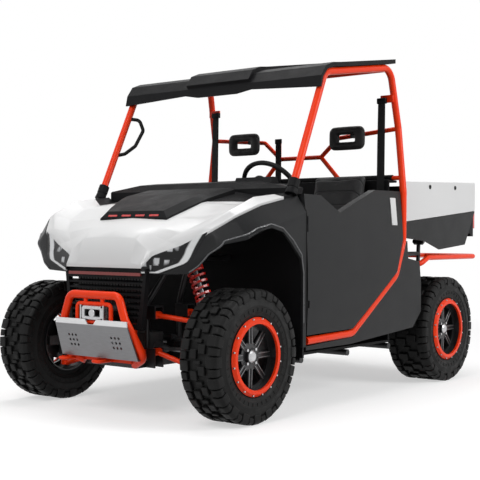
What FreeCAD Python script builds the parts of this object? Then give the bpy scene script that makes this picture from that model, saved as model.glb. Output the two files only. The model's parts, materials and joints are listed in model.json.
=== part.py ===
import FreeCAD, Part

import math
import os

V = FreeCAD.Vector

# Side by side utility vehicle with two seats, an open tube cab and a tipping cargo bed.
# Millimetres. +Z is up, the front faces -Y and the driver's left side is +X.
# The origin is on the ground, at the middle of the length and of the width.

# Driving lengths along the vehicle
front_overhang = 385.0
wheelbase = 2050.0
rear_overhang = 525.0
axle_to_door = 423.0
door_length = 1040.0
door_to_bed = 68.0
bed_to_tail = 75.0

# Driving widths
overall_width = 1580.0
roof_rail_width = 1414.0
bed_width = 1500.0

# Driving heights above the ground
frame_height = 252.0
bumper_height = 628.0
nose_height = 767.0
cowl_height = 1232.0
sill_height = 352.0
roof_front_height = 1838.0
roof_rear_height = 1952.0
bed_floor_height = 955.0
bed_rail_front_height = 1270.0
bed_rail_rear_height = 1302.0

# Gaps and cuts shared by all pieces
fit_gap = 0.3
seam = 1.0
panel_gap = 7.0
cut_overrun = 6.0

# Places worked out from the driving sizes
half_width = overall_width / 2
front_end = -(front_overhang + wheelbase + rear_overhang) / 2
rear_end = -front_end
front_axle = front_end + front_overhang
rear_axle = front_axle + wheelbase
door_front = front_axle + axle_to_door
door_rear = door_front + door_length
bed_front = door_rear + door_to_bed
bed_rear = rear_end - bed_to_tail

parts = {}


# Shapes used all over the vehicle

def box(x0, x1, y0, y1, z0, z1):
    return Part.makeBox(x1 - x0, y1 - y0, z1 - z0, V(x0, y0, z0))


def rod(start, end, radius):
    way = V(*end) - V(*start)
    return Part.makeCylinder(radius, way.Length, V(*start), way)


def cone(start, end, start_radius, end_radius):
    way = V(*end) - V(*start)
    return Part.makeCone(start_radius, end_radius, way.Length, V(*start), way)


def sleeve(start, end, radius, bore):
    return rod(start, end, radius).cut(rod(start, end, bore))


def between(start, end, share):
    return tuple(a + (b - a) * share for a, b in zip(start, end))


def tube(points, radius, bend):
    """A round tube along straight runs with a bend at each corner."""
    corners = [V(*p) for p in points]
    edges = []
    start = corners[0]
    for before, corner, after in zip(corners, corners[1:], corners[2:]):
        back = (before - corner).normalize()
        ahead = (after - corner).normalize()
        half_turn = (math.pi - back.getAngle(ahead)) / 2
        inward = (back + ahead).normalize()
        leg = bend * math.tan(half_turn)
        middle = corner + inward * (bend / math.cos(half_turn) - bend)
        edges.append(Part.makeLine(start, corner + back * leg))
        edges.append(Part.Arc(corner + back * leg, middle, corner + ahead * leg).toShape())
        start = corner + ahead * leg
    edges.append(Part.makeLine(start, corners[-1]))
    ring = Part.Wire(Part.makeCircle(radius, corners[0], corners[1] - corners[0]))
    return Part.Wire(edges).makePipeShell([ring], True, False)


def face_of(points):
    return Part.Face(Part.makePolygon([V(*p) for p in points] + [V(*points[0])]))


def side_prism(outline, x0, x1):
    """An outline of (y, z) points, carried across the vehicle from x0 to x1."""
    return face_of([(x0, y, z) for y, z in outline]).extrude(V(x1 - x0, 0, 0))


def front_prism(outline, y0, y1):
    """An outline of (x, z) points, carried along the vehicle from y0 to y1."""
    return face_of([(x, y0, z) for x, z in outline]).extrude(V(0, y1 - y0, 0))


def plan_prism(outline, z0, z1):
    """An outline of (x, y) points, carried up from z0 to z1."""
    return face_of([(x, y, z0) for x, y in outline]).extrude(V(0, 0, z1 - z0))


def lathe(profile, centre, side):
    """A closed profile of (way out, radius) points, turned about the axle line."""
    x, y, z = centre
    face = face_of([(x + side * out, y, z + radius) for out, radius in profile])
    return face.revolve(V(x, y, z), V(side, 0, 0), 360)


def join(shapes):
    first, *rest = shapes
    whole = first.multiFuse(rest) if rest else first
    return whole.removeSplitter()


def mirrored(shape):
    return shape.mirror(V(0, 0, 0), V(1, 0, 0))


def both(shapes):
    return shapes + [mirrored(shape) for shape in shapes]


def keep(name, *shapes):
    parts[name] = shapes[0] if len(shapes) == 1 else Part.Compound(list(shapes))


# Wheels: a wide lugged tyre on a split-spoke rim with a coloured bead ring
tyre_radius = 336.0
front_tyre_width = 235.0
rear_tyre_width = 280.0
tread_depth = 18.0
crown_inset = 44.0
shoulder_drop = 24.0
sidewall_widest_radius = 262.0
sidewall_inset = 7.0
bead_depth = 24.0
bead_inset = 22.0
lug_rows = 18
lug_length = 58.0
shoulder_lug_width = 66.0
shoulder_lug_reach = 34.0
lug_bevel = 16.0
lug_root = 9.0
centre_lug_gap = 15.0
centre_lug_skew = 22.0
rim_radius = 176.0
rim_wall = 7.0
rim_lip = 8.0
spoke_plate_setback = 40.0
spoke_plate_thickness = 16.0
spoke_count = 8
spoke_width = 34.0
spoke_window_inner = 72.0
spoke_window_outer = 150.0
ring_outer = 197.0
ring_inner = 164.0
ring_thickness = 14.0
hub_radius = 58.0
hub_cap_radius = 36.0
hub_cap_height = 16.0
brake_disc_radius = 112.0
brake_disc_thickness = 6.0

# Knuckles: kingpin, spindle, steering arm and brake caliper
kingpin_inset = 72.0
kingpin_half_height = 118.0
kingpin_pin_radius = 10.0
kingpin_pin_length = 24.0
kingpin_boss_radius = 20.0
kingpin_boss_height = 34.0
knuckle_thickness = 46.0
knuckle_depth = 60.0
housing_radius = 45.0
housing_reach = 40.0
joint_ball_radius = 29.0
joint_ball_room = 4.0
spindle_radius = 20.0
spindle_length = 66.0
bearing_gap = 0.5
hub_to_housing = 9.0
steering_arm_length = 80.0
steering_arm_rise = 56.0
steering_arm_width = 26.0
steering_arm_thickness = 14.0
caliper_length = 84.0
caliper_height = 52.0
caliper_cheek = 16.0
disc_room = 6.0

front_wheel_x = half_width - front_tyre_width / 2
rear_wheel_x = half_width - rear_tyre_width / 2
kingpin_x = front_wheel_x - kingpin_inset
hub_face = kingpin_x + housing_reach + hub_to_housing


def tyre(width, centre, side):
    """A carcass with one facet a lug row, and three rows of lugs that stand on it."""
    x, y, z = centre
    half = width / 2
    row_turn = 360 / lug_rows
    bead = half - bead_inset
    bore = (rim_radius + fit_gap) / math.cos(math.radians(row_turn / 2))
    wide = half - sidewall_inset
    crown = tyre_radius - tread_depth
    outline = [(bead, bore), (bead, bore + bead_depth), (wide, sidewall_widest_radius),
               (wide, crown - shoulder_drop), (half - crown_inset, crown)]
    outline += [(-out, radius) for out, radius in reversed(outline)]

    def turned(shape, rows):
        return shape.rotate(V(*centre), V(side, 0, 0), row_turn * rows)

    def cross_section(rows):
        return turned(Part.makePolygon([V(x + out, y, z - radius) for out, radius in outline + outline[:1]]), rows)

    shoulder = [(half - shoulder_lug_width, crown - lug_root), (half - shoulder_lug_width, tyre_radius),
                (half - lug_bevel, tyre_radius), (half, tyre_radius - lug_bevel),
                (half, crown - shoulder_lug_reach), (wide - lug_root, crown - shoulder_lug_reach)]
    inner = half - shoulder_lug_width - centre_lug_gap
    skew = centre_lug_skew / 2
    middle = [(-inner, -lug_length / 2 - skew), (inner, -lug_length / 2 + skew),
              (inner, lug_length / 2 + skew), (-inner, lug_length / 2 - skew)]
    pieces = []
    for row in range(lug_rows):
        pieces.append(Part.makeLoft([cross_section(row - 0.5), cross_section(row + 0.5)], True, True))
        left = front_prism([(x + out, z - radius) for out, radius in shoulder], y - lug_length / 2, y + lug_length / 2)
        right = front_prism([(x - out, z - radius) for out, radius in shoulder], y - lug_length / 2, y + lug_length / 2)
        block = plan_prism([(x + out, y + along) for out, along in middle], z - tyre_radius, z - crown + lug_root)
        pieces += [turned(left, row), turned(right, row + 0.5), turned(block, row)]
    return join(pieces)


def rim(width, centre, side, hub_start):
    """Barrel, windowed spoke plate, hub with its cap, and the brake disc behind."""
    x, y, z = centre
    half = width / 2 - bead_inset + rim_lip
    inner = rim_radius - rim_wall
    barrel = lathe([(-half, inner), (-half, rim_radius), (half, rim_radius), (half, inner)], centre, side)
    plate_out = half - spoke_plate_setback

    def across(start, end, radius):
        return rod((x + side * start, y, z), (x + side * end, y, z), radius)

    plate = across(plate_out - spoke_plate_thickness, plate_out, rim_radius)
    window = across(plate_out - spoke_plate_thickness * 2, plate_out + spoke_plate_thickness, spoke_window_outer)
    window = window.cut(across(-half, half, spoke_window_inner))
    spokes = []
    for number in range(spoke_count // 2):
        bar = box(x - half, x + half, y - spoke_width / 2, y + spoke_width / 2,
                  z - rim_radius, z + rim_radius)
        spokes.append(bar.rotate(V(*centre), V(1, 0, 0), 360 * number / spoke_count))
    window = window.cut(join(spokes))
    hub = across(hub_start, plate_out, hub_radius)
    cap = across(plate_out, plate_out + hub_cap_height, hub_cap_radius)
    disc = across(hub_start, hub_start + brake_disc_thickness, brake_disc_radius)
    bore = across(hub_start - cut_overrun, hub_start + spindle_length, spindle_radius + bearing_gap)
    return join([barrel, plate.cut(window), hub, cap, disc]).cut(bore)


def bead_ring(width, centre, side):
    inner = width / 2 - bead_inset + rim_lip + fit_gap
    profile = [(inner, ring_inner), (inner, ring_outer),
               (inner + ring_thickness, ring_outer - ring_thickness),
               (inner + ring_thickness, ring_inner)]
    return lathe(profile, centre, side)


def make_wheel(place, width, centre, side, hub_start):
    keep("tyre_" + place, tyre(width, centre, side))
    keep("rim_" + place, rim(width, centre, side, hub_start))
    keep("bead_ring_" + place, bead_ring(width, centre, side))


def make_wheels():
    front_hub = hub_face - front_wheel_x
    rear_hub = hub_face - rear_wheel_x
    for name, side in (("left", 1), ("right", -1)):
        centre = (side * front_wheel_x, front_axle, tyre_radius)
        make_wheel("front_" + name, front_tyre_width, centre, side, front_hub)
        centre = (side * rear_wheel_x, rear_axle, tyre_radius)
        make_wheel("rear_" + name, rear_tyre_width, centre, side, rear_hub)


def upright(axle):
    """The casting that carries the wheel: kingpin posts, ball housing, spindle and caliper."""
    x, z = kingpin_x, tyre_radius
    end = kingpin_half_height
    tall = end - kingpin_boss_height
    post = box(x - knuckle_thickness / 2, x + knuckle_thickness / 2,
               axle - knuckle_depth / 2, axle + knuckle_depth / 2, z - tall, z + tall)
    bosses = rod((x, axle, z - end), (x, axle, z + end), kingpin_boss_radius)
    housing = rod((x - knuckle_thickness / 2, axle, z), (x + housing_reach, axle, z), housing_radius)
    room = joint_ball_radius + joint_ball_room
    bore = rod((x - knuckle_thickness, axle, z), (x + room, axle, z), room)
    spindle = rod((x + room, axle, z), (hub_face + spindle_length - hub_to_housing, axle, z), spindle_radius)
    pins = rod((x, axle, z - end - kingpin_pin_length), (x, axle, z + end + kingpin_pin_length), kingpin_pin_radius)
    return join([join([post, bosses, pins, housing]).cut(bore), spindle])


def caliper(axle):
    """A saddle over the brake disc, bolted ahead of the axle."""
    inner = hub_face - disc_room - caliper_cheek
    outer = hub_face + brake_disc_thickness + disc_room + caliper_cheek
    low = tyre_radius - caliper_height / 2
    reach = brake_disc_radius + disc_room + caliper_cheek
    saddle = box(inner, outer, axle - reach, axle - reach + caliper_length, low, low + caliper_height)
    slot = rod((hub_face - disc_room, axle, tyre_radius),
               (hub_face + brake_disc_thickness + disc_room, axle, tyre_radius), brake_disc_radius + disc_room)
    hub_room = rod((hub_face, axle, tyre_radius), (outer + cut_overrun, axle, tyre_radius), hub_radius + disc_room)
    arm = box(kingpin_x, inner + caliper_cheek, axle - reach + caliper_cheek, axle, low, low + caliper_height)
    housing_room = rod((kingpin_x - housing_radius, axle, tyre_radius),
                       (outer, axle, tyre_radius), housing_radius - seam)
    return saddle.cut(slot).cut(hub_room).fuse(arm.cut(housing_room).cut(slot))


def steering_arm():
    x, y = kingpin_x, front_axle
    z = tyre_radius + steering_arm_rise
    arm = box(x - steering_arm_width / 2, x + steering_arm_width / 2,
              y, y + steering_arm_length, z, z + steering_arm_thickness)
    eye = rod((x, y + steering_arm_length, z), (x, y + steering_arm_length, z + steering_arm_thickness),
              steering_arm_width / 2)
    return arm.fuse(eye)


def make_knuckles():
    room = joint_ball_radius + joint_ball_room
    ball_room = rod((kingpin_x - knuckle_thickness, front_axle, tyre_radius),
                    (kingpin_x + room, front_axle, tyre_radius), room)
    front = join([upright(front_axle), caliper(front_axle), steering_arm()]).cut(ball_room)
    keep("knuckle_left", front)
    keep("knuckle_right", mirrored(front))
    shift = rear_axle - front_axle
    rear = join([upright(rear_axle), caliper(rear_axle)])
    keep("rear_knuckles", *both([rear]))


# Suspension: two arms a side, half shafts with boots, and a spring round each damper
arm_inner_x = 222.0
arm_spread = 125.0
upper_arm_inner_rise = 186.0
lower_arm_inner_drop = 4.0
arm_radius = 13.0
arm_bush_radius = 20.0
arm_bush_length = 52.0
arm_eye_radius = 26.0
arm_eye_height = 24.0
half_shaft_radius = 12.0
boot_radius = 38.0
boot_length = 84.0
damper_foot_inset = 122.5
damper_top_x = 352.0
damper_top_rise = 478.0
damper_body_radius = 24.0
damper_rod_radius = 11.0
damper_eye_radius = 17.0
damper_eye_length = 34.0
damper_pin_radius = 8.5
spring_radius = 46.0
spring_wire = 11.0
spring_turns = 7
spring_steps = 12
spring_end_turns = 0.75
spring_low_share = 0.28
spring_high_share = 0.86
spring_seat_share = 0.02


def control_arm(axle, inner_z, eye_low, tube_z):
    """Two tubes from the frame bushes to one eye at the kingpin."""
    outer = (kingpin_x - arm_eye_radius / 2, axle, tube_z)
    pieces = [rod((kingpin_x, axle, eye_low), (kingpin_x, axle, eye_low + arm_eye_height), arm_eye_radius)]
    for way in (-1, 1):
        y = axle + way * arm_spread
        pieces.append(rod(outer, (arm_inner_x, y, inner_z), arm_radius))
        pieces.append(rod((arm_inner_x, y - arm_bush_length / 2, inner_z),
                          (arm_inner_x, y + arm_bush_length / 2, inner_z), arm_bush_radius))
    hole = rod((kingpin_x, axle, eye_low - cut_overrun),
               (kingpin_x, axle, eye_low + arm_eye_height + cut_overrun), kingpin_pin_radius + bearing_gap)
    return join(pieces).cut(hole)


def upper_arm(axle):
    eye_low = tyre_radius + kingpin_half_height + seam
    return control_arm(axle, tyre_radius + upper_arm_inner_rise, eye_low, eye_low + arm_eye_height - arm_radius / 2)


def lower_arm(axle):
    eye_low = tyre_radius - kingpin_half_height - seam - arm_eye_height
    return control_arm(axle, tyre_radius - lower_arm_inner_drop, eye_low, eye_low + arm_radius / 2)


def damper_ends(axle):
    share = damper_foot_inset / (kingpin_x - arm_inner_x)
    arm_top = tyre_radius + kingpin_half_height + arm_eye_height / 2
    foot_z = arm_top + (tyre_radius + upper_arm_inner_rise - arm_top) * share + arm_radius + damper_eye_radius
    return (kingpin_x - damper_foot_inset, axle, foot_z), (damper_top_x, axle, tyre_radius + damper_top_rise)


def damper(axle):
    foot, top = damper_ends(axle)
    low = between(foot, top, spring_low_share)
    high = between(foot, top, spring_high_share)
    pieces = [
        rod(foot, high, damper_rod_radius),
        rod(between(foot, top, spring_low_share), top, damper_body_radius / 2),
        rod(foot, low, damper_body_radius),
        rod(low, between(foot, top, spring_low_share - spring_seat_share), spring_radius),
        rod(high, between(foot, top, spring_high_share + spring_seat_share), spring_radius),
    ]
    for eye in (foot, top):
        pieces.append(rod((eye[0], axle - damper_eye_length / 2, eye[2]),
                          (eye[0], axle + damper_eye_length / 2, eye[2]), damper_eye_radius))
    hole = rod((top[0], axle - damper_eye_length, top[2]), (top[0], axle + damper_eye_length, top[2]), damper_pin_radius)
    return join(pieces).cut(hole)


def spring(axle):
    """A coil of square wire whose end turns lie flat on the two seats."""
    foot, top = damper_ends(axle)
    low = V(*between(foot, top, spring_low_share))
    high = V(*between(foot, top, spring_high_share))
    way = (high - low).normalize()
    ahead = V(0, 1, 0)
    sideways = way.cross(ahead)
    travel = (high - low).Length - spring_wire - fit_gap * 2
    sections = []
    for step in range(spring_turns * spring_steps + 1):
        turns = step / spring_steps
        share = (turns - spring_end_turns) / (spring_turns - spring_end_turns * 2)
        height = fit_gap + travel * min(max(share, 0), 1)
        out = ahead * math.cos(turns * 2 * math.pi) + sideways * math.sin(turns * 2 * math.pi)
        corners = [low + way * rise + out * reach for reach, rise in (
            (spring_radius, height), (spring_radius, height + spring_wire),
            (spring_radius - spring_wire, height + spring_wire), (spring_radius - spring_wire, height))]
        sections.append(Part.makePolygon(corners + corners[:1]))
    return Part.makeLoft(sections, True, True)


def half_shaft(axle, inner_end):
    ball = Part.makeSphere(joint_ball_radius, V(kingpin_x, axle, tyre_radius))
    shaft = rod((inner_end, axle, tyre_radius), (kingpin_x, axle, tyre_radius), half_shaft_radius)
    boot = cone((inner_end, axle, tyre_radius), (inner_end + boot_length, axle, tyre_radius),
                boot_radius, half_shaft_radius + fit_gap)
    return join([ball, shaft, boot])


def make_suspension():
    shafts = []
    for axle, half in ((front_axle, front_gearcase_half_width), (rear_axle, rear_gearcase_half_width)):
        shafts.append(half_shaft(axle, half + fit_gap))
    keep("axle_shafts", *both(shafts))
    keep("front_arms", *both([upper_arm(front_axle), lower_arm(front_axle)]))
    keep("rear_arms", *both([upper_arm(rear_axle), lower_arm(rear_axle)]))
    keep("dampers", *both([damper(front_axle), damper(rear_axle)]))
    keep("coil_springs", *both([spring(front_axle), spring(rear_axle)]))


# Frame: two long box rails with cross members and outriggers, and spring towers bolted on top
rail_centre = 158.0
rail_width = 48.0
rail_height = 42.0
cross_width = 60.0
tower_x = 288.0
tower_tube = 14.0
tower_spread = 60.0
tower_bend = 46.0
ear_thickness = 8.0
ear_half_height = 20.0
outrigger_tube = 18.0
sill_inset = 78.0
sill_tube = 20.0
bed_hinge_height = 898.0
bed_hinge_inset = 96.0
bed_hinge_x = 330.0
bed_hinge_radius = 13.0
bed_hinge_half = 42.0
hinge_post_width = 46.0
front_gearcase_half_width = 118.0
rear_gearcase_half_width = 128.0
gearcase_length = 250.0
gearcase_height = 170.0
engine_half_width = 300.0
engine_front_gap = 96.0
engine_length = 560.0
engine_top = 830.0
skid_thickness = 5.0
hitch_width = 50.8
hitch_wall = 6.4
hitch_length = 190.0
hitch_reach = 85.5
hitch_pin_radius = 8.0

rail_top = frame_height + rail_height
sill_x = half_width - sill_inset
outrigger_height = frame_height + rail_height / 2
bed_hinge_y = rear_end - bed_hinge_inset
frame_front = front_axle - arm_spread - arm_bush_length * 2


def ear_pairs(axle, inner, low, high):
    """Pairs of plates on both sides of the two arm bushes that lie at one height."""
    ears = []
    for way in (-1, 1):
        for end in (-1, 1):
            face = axle + way * arm_spread + end * (arm_bush_length / 2 + seam / 2)
            y0, y1 = sorted((face, face + end * ear_thickness))
            ears.append(box(inner, arm_inner_x + arm_bush_radius, y0, y1, low, high))
    return ears


def tower(axle):
    """Uprights from the rail, past the upper arm bushes, to the damper's top bolt."""
    top = tyre_radius + damper_top_rise
    post_x = rail_centre
    bush_z = tyre_radius + upper_arm_inner_rise
    knee = bush_z + ear_half_height * 3
    ear_top = bush_z + ear_half_height * 2
    pieces = ear_pairs(axle, rail_centre, bush_z - ear_half_height, ear_top)
    for way in (-1, 1):
        y = axle + way * arm_spread
        reach = arm_bush_length / 2 + ear_thickness + seam / 2
        pieces.append(box(rail_centre, arm_inner_x + arm_bush_radius, y - reach, y + reach,
                          ear_top, ear_top + ear_thickness))
        pieces.append(tube([(post_x, y, rail_top + fit_gap), (post_x, y, knee),
                            (tower_x, axle + way * tower_spread, top)], tower_tube, tower_bend))
    pieces.append(rod((tower_x, axle - tower_spread, top), (tower_x, axle + tower_spread, top), tower_tube))
    reach = damper_eye_length / 2 + seam
    for y in (axle - reach - ear_thickness, axle + reach):
        pieces.append(box(tower_x, damper_top_x + damper_eye_radius, y, y + ear_thickness,
                          top - damper_eye_radius, top + damper_eye_radius))
    pin = rod((damper_top_x, axle - reach - ear_thickness, top),
              (damper_top_x, axle + reach + ear_thickness / 2, top), damper_pin_radius)
    return join(pieces + [pin])


def make_towers():
    """The rear towers run on to the posts that carry the hinge of the bed."""
    top = tyre_radius + damper_top_rise
    runner = rod((tower_x, front_axle + tower_spread, top), (tower_x, door_front - cross_width / 2, top), tower_tube)
    keep("front_towers", *both([join([tower(front_axle), runner])]))
    x = bed_hinge_x
    y = bed_hinge_y - cross_width / 2
    pieces = [tower(rear_axle)]
    pieces.append(rod((tower_x, rear_axle - tower_spread, top), (tower_x, door_rear, top), tower_tube))
    pieces.append(rod((tower_x, rear_axle + tower_spread, top), (x, bed_hinge_y, top), tower_tube))
    pieces.append(tube([(rail_centre, y, rail_top + fit_gap), (rail_centre, y, rail_top + tower_bend),
                        (x, y, rail_top + tower_bend * 2), (x, bed_hinge_y, bed_hinge_height)],
                       tower_tube, tower_tube * 2))
    pieces.append(rod((x - bed_hinge_half, bed_hinge_y, bed_hinge_height),
                      (x + bed_hinge_half, bed_hinge_y, bed_hinge_height), bed_hinge_radius))
    keep("rear_towers", *both([join(pieces)]))


def make_frame():
    low, high = frame_height, rail_top
    rail = box(rail_centre - rail_width / 2, rail_centre + rail_width / 2, frame_front, bed_hinge_y, low, high)
    crosses = []
    for y in (frame_front, front_axle + arm_spread + arm_bush_length, door_front, door_rear, bed_hinge_y - cross_width):
        crosses.append(box(-rail_centre, rail_centre, y, y + cross_width, low, high))
    for y in (door_front + cross_width, (door_front + door_rear) / 2, door_rear - cross_width):
        crosses.append(rod((-sill_x, y, outrigger_height), (sill_x, y, outrigger_height), outrigger_tube))
    left = box(0, half_width, front_end, rear_end, 0, roof_rear_height)
    half = [rail] + [cross.common(left) for cross in crosses]
    ear_top = tyre_radius - lower_arm_inner_drop + ear_half_height
    for axle in (front_axle, rear_axle):
        half += ear_pairs(axle, rail_centre + rail_width / 2, low, ear_top)
    half = join(half)
    keep("frame", half.fuse(mirrored(half)).removeSplitter())


# Front body: one skin lofted over the sections below, then cut at its seams into the hood,
# the cowl behind it, the two fenders and the pockets of the headlamps
skin = 14.0
hood_gap = 8.0
hood_span = door_front - front_end
nose_sections_shares = [
    (0.111, [(0.000, 0.646), (0.241, 0.644), (0.330, 0.640), (0.338, 0.638), (0.344, 0.634), (0.350, 0.600)]),
    (0.167, [(0.000, 0.751), (0.241, 0.743), (0.348, 0.698), (0.361, 0.690), (0.373, 0.674), (0.380, 0.633)]),
    (0.235, [(0.000, 0.781), (0.253, 0.775), (0.443, 0.735), (0.506, 0.726), (0.570, 0.718), (0.709, 0.657)]),
    (0.291, [(0.000, 0.802), (0.266, 0.795), (0.532, 0.771), (0.684, 0.784), (0.759, 0.779), (0.842, 0.725)]),
    (0.415, [(0.000, 0.841), (0.272, 0.834), (0.646, 0.826), (0.810, 0.859), (0.861, 0.841), (0.968, 0.755)]),
    (0.631, [(0.000, 0.911), (0.278, 0.905), (0.722, 0.884), (0.835, 0.919), (0.886, 0.891), (1.000, 0.800)]),
    (0.985, [(0.000, 0.972), (0.285, 0.966), (0.785, 0.918), (0.848, 0.945), (0.915, 0.941), (1.000, 0.860)]),
]
lamp_line_shares = [(0.100, 0.600), (0.181, 0.600), (0.220, 0.641), (0.241, 0.680), (0.285, 0.768)]
arch_line_shares = [(0.100, 0.590), (0.222, 0.602), (0.262, 0.680), (0.310, 0.722), (0.403, 0.740), (0.502, 0.772),
                    (0.615, 0.790), (0.734, 0.773), (0.821, 0.727), (0.928, 0.660), (0.948, 0.600)]
cowl_line_shares = [(0.428, 0.675), (0.899, 0.860), (1.020, 0.908)]
lamp_inner_x = 272.0
nose_gap_half = 300.0
scoop_rise = 30.0
scoop_skirt = 40.0
scoop_sections_shares = [(0.384, 0.310, 0.306, 0.08), (0.408, 0.318, 0.262, 1.00), (0.540, 0.370, 0.310, 0.90),
                         (0.675, 0.415, 0.350, 0.70), (0.940, 0.430, 0.380, 0.30)]


def hood_y(share):
    return front_end + hood_span * share


def body_loft(inset, overrun):
    """The closed form of the front body, drawn in by the thickness of its skin."""
    wires = []
    last = len(nose_sections_shares) - 1
    for number, (y_share, half) in enumerate(nose_sections_shares):
        y = hood_y(y_share) + inset
        if number == last:
            y = y - inset + overrun
        right = [(max(x * half_width - inset, 0), z * cowl_height - inset) for x, z in half]
        right.append((right[-1][0], frame_height - overrun))
        ring = [(x, y, z) for x, z in right]
        ring = ring + [(-x, y, z) for x, z in reversed(right) if x > 0]
        wires.append(Part.makePolygon([V(*p) for p in ring] + [V(*ring[0])]))
    return Part.makeLoft(wires, True, True)


def hood_points(line_shares):
    return [(hood_y(y), z * cowl_height) for y, z in line_shares]


def ridge_height(y_share):
    """Height of the hood on the middle line."""
    ridge = [(y, half[0][1]) for y, half in nose_sections_shares]
    for (y0, z0), (y1, z1) in zip(ridge, ridge[1:]):
        if y0 <= y_share <= y1:
            return (z0 + (z1 - z0) * (y_share - y0) / (y1 - y0)) * cowl_height


def hood_plan(growth, low):
    """The hood seen from above: its edge runs along one row of points of the sections."""
    edge = [(lamp_inner_x + growth, front_end), (lamp_inner_x + growth, hood_y(nose_sections_shares[0][0]))]
    edge += [(half[4][0] * half_width + growth, hood_y(y)) for y, half in nose_sections_shares[1:]]
    edge.append((edge[-1][0], door_front + cut_overrun))
    return plan_prism(edge + [(-x, y) for x, y in reversed(edge)], low, cowl_height * 2)


def behind_hood(shift):
    """All that lies behind the slanting rear edge of the hood."""
    line = [(x * half_width, hood_y(y) + shift) for x, y in cowl_line_shares]
    line.append((line[-1][0], door_front + cut_overrun))
    return plan_prism(line + [(-x, y) for x, y in reversed(line)], 0, cowl_height * 2)


def scoop():
    """The raised air scoop: flat on top, steep at its sides, lowest where it meets the cowl."""
    wires = []
    for y_share, foot, top, rise in scoop_sections_shares:
        y, z = hood_y(y_share), ridge_height(y_share)
        right = [(foot * half_width, z - scoop_skirt), (foot * half_width, z), (top * half_width, z + scoop_rise * rise)]
        ring = [V(x, y, height) for x, height in right] + [V(-x, y, height) for x, height in reversed(right)]
        wires.append(Part.makePolygon(ring + ring[:1]))
    return Part.makeLoft(wires, True, True)


def make_front_body():
    outer = body_loft(0, 0)
    shell = outer.cut(body_loft(skin, cut_overrun))
    deep = outer.cut(body_loft(skin * 3, cut_overrun))
    top = cowl_height + cut_overrun
    rear = door_front + cut_overrun
    lamp_line = hood_points(lamp_line_shares)
    arch_line = hood_points(arch_line_shares)
    tip_y = lamp_line[-1][0]
    middle = shell.common(hood_plan(0, nose_height))
    keep("hood", middle.cut(behind_hood(0)))
    lamp_zone = side_prism([(y, z + seam) for y, z in lamp_line] + [(tip_y, top), (lamp_line[0][0], top)],
                           lamp_inner_x + seam, half_width)
    keep("headlamps", *both([deep.common(lamp_zone).cut(hood_plan(seam, 0))]))

    front_edge = lamp_line[:-1] + [(tip_y + seam, lamp_line[-1][1]), (tip_y + seam, top)]
    rear_edge = [(rear, top), (rear, sill_height), (arch_line[-1][0], sill_height)]
    fender_zone = side_prism(front_edge + rear_edge + list(reversed(arch_line)),
                             nose_gap_half, half_width + cut_overrun)
    keep("front_fenders", *both([shell.common(fender_zone).cut(hood_plan(hood_gap, 0))]))
    keep("hood_insert", join([middle.common(behind_hood(seam)), scoop().cut(outer)]))


# Nose below the hood: a slatted grille between two cheeks
fascia_half_top = 298.0
fascia_half_low = 262.0
fascia_low = 456.0
fascia_depth = 30.0
fascia_setback = 84.0
fascia_border = 26.0
slat_count = 7
slat_thickness = 9.0
trim_strip_height = 16.0


def make_fascia():
    y = front_end + fascia_setback + panel_gap * 3
    high = nose_height - seam
    outline = [(-fascia_half_top, high), (fascia_half_top, high),
               (fascia_half_low, fascia_low), (-fascia_half_low, fascia_low)]
    border = fascia_border
    hole = [(-fascia_half_top + border, high - border * 2), (fascia_half_top - border, high - border * 2),
            (fascia_half_low - border, fascia_low + border), (-fascia_half_low + border, fascia_low + border)]
    opening = front_prism(hole, y - cut_overrun, y + fascia_depth + cut_overrun)
    pieces = [front_prism(outline, y, y + fascia_depth).cut(opening)]
    span = high - fascia_low - border * 3
    for number in range(slat_count):
        z = fascia_low + border + span * (number + 1) / (slat_count + 1)
        share = (z - fascia_low) / (high - fascia_low)
        half = fascia_half_low + (fascia_half_top - fascia_half_low) * share - border / 2
        pieces.append(side_prism([(y + seam * 2, z), (y + fascia_depth, z + slat_thickness),
                                  (y + fascia_depth, z + slat_thickness * 2), (y + seam * 2, z + slat_thickness)],
                                 -half, half))
    room = panel_gap + winch_flange
    winch_room = box(-winch_half - room, winch_half + room, front_end, front_axle,
                     winch_height - winch_radius - room * 2, winch_height + winch_radius + room * 2)
    keep("front_fascia", join(pieces).cut(winch_room).cut(parts["headlamps"]).cut(parts["front_fenders"]))
    strip_z = nose_height - border * 1.5
    strip = box(-fascia_half_low, fascia_half_low, y - slat_thickness, y, strip_z, strip_z + trim_strip_height)
    keep("grille_trim", strip.cut(winch_room))


# Front bumper hoop with tow hooks, the drilled skid plate and the winch
bumper_plane = 31.0
bumper_tube = 21.0
bumper_top_half = 176.0
bumper_knee_half = 219.0
bumper_foot_half = 285.0
bumper_knee_drop = 116.0
bumper_foot_drop = 310.0
bumper_foot_setback = 72.0
bumper_bend = 46.0
leg_room_share = 0.2
inner_hoop_tube = 11.0
inner_hoop_half = 122.0
inner_hoop_drop = 46.0
inner_bar_drop = 140.0
plate_top_drop = 124.0
plate_fold_drop = 152.0
plate_low_drop = 325.0
plate_half_top = 258.0
plate_half_low = 276.0
plate_thickness = 6.0
plate_notch_half = 42.0
plate_notch_depth = 26.0
plate_hole_radius = 7.0
plate_hole_pitch = 26.0
hook_tube = 9.0
hook_reach = 34.0
hook_half = 26.0
winch_radius = 46.0
winch_half = 128.0
winch_drop = 92.0
winch_setback = 116.0
winch_bracket = 8.0
winch_flange = 9.0
fairlead_half = 100.0
fairlead_height = 62.0
fairlead_roller = 11.0


bumper_y = front_end + bumper_plane
bumper_back = bumper_y + bumper_foot_setback + bumper_tube * 2
winch_height = bumper_height - winch_drop
plate_top = bumper_height - plate_top_drop
plate_fold = bumper_height - plate_fold_drop
plate_low = bumper_height - plate_low_drop
plate_rake = bumper_foot_setback / (bumper_foot_drop - bumper_knee_drop)
plate_face = bumper_y - bumper_tube - fit_gap - plate_thickness
plate_low_face = plate_face + plate_rake * (plate_fold - plate_low)


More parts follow.
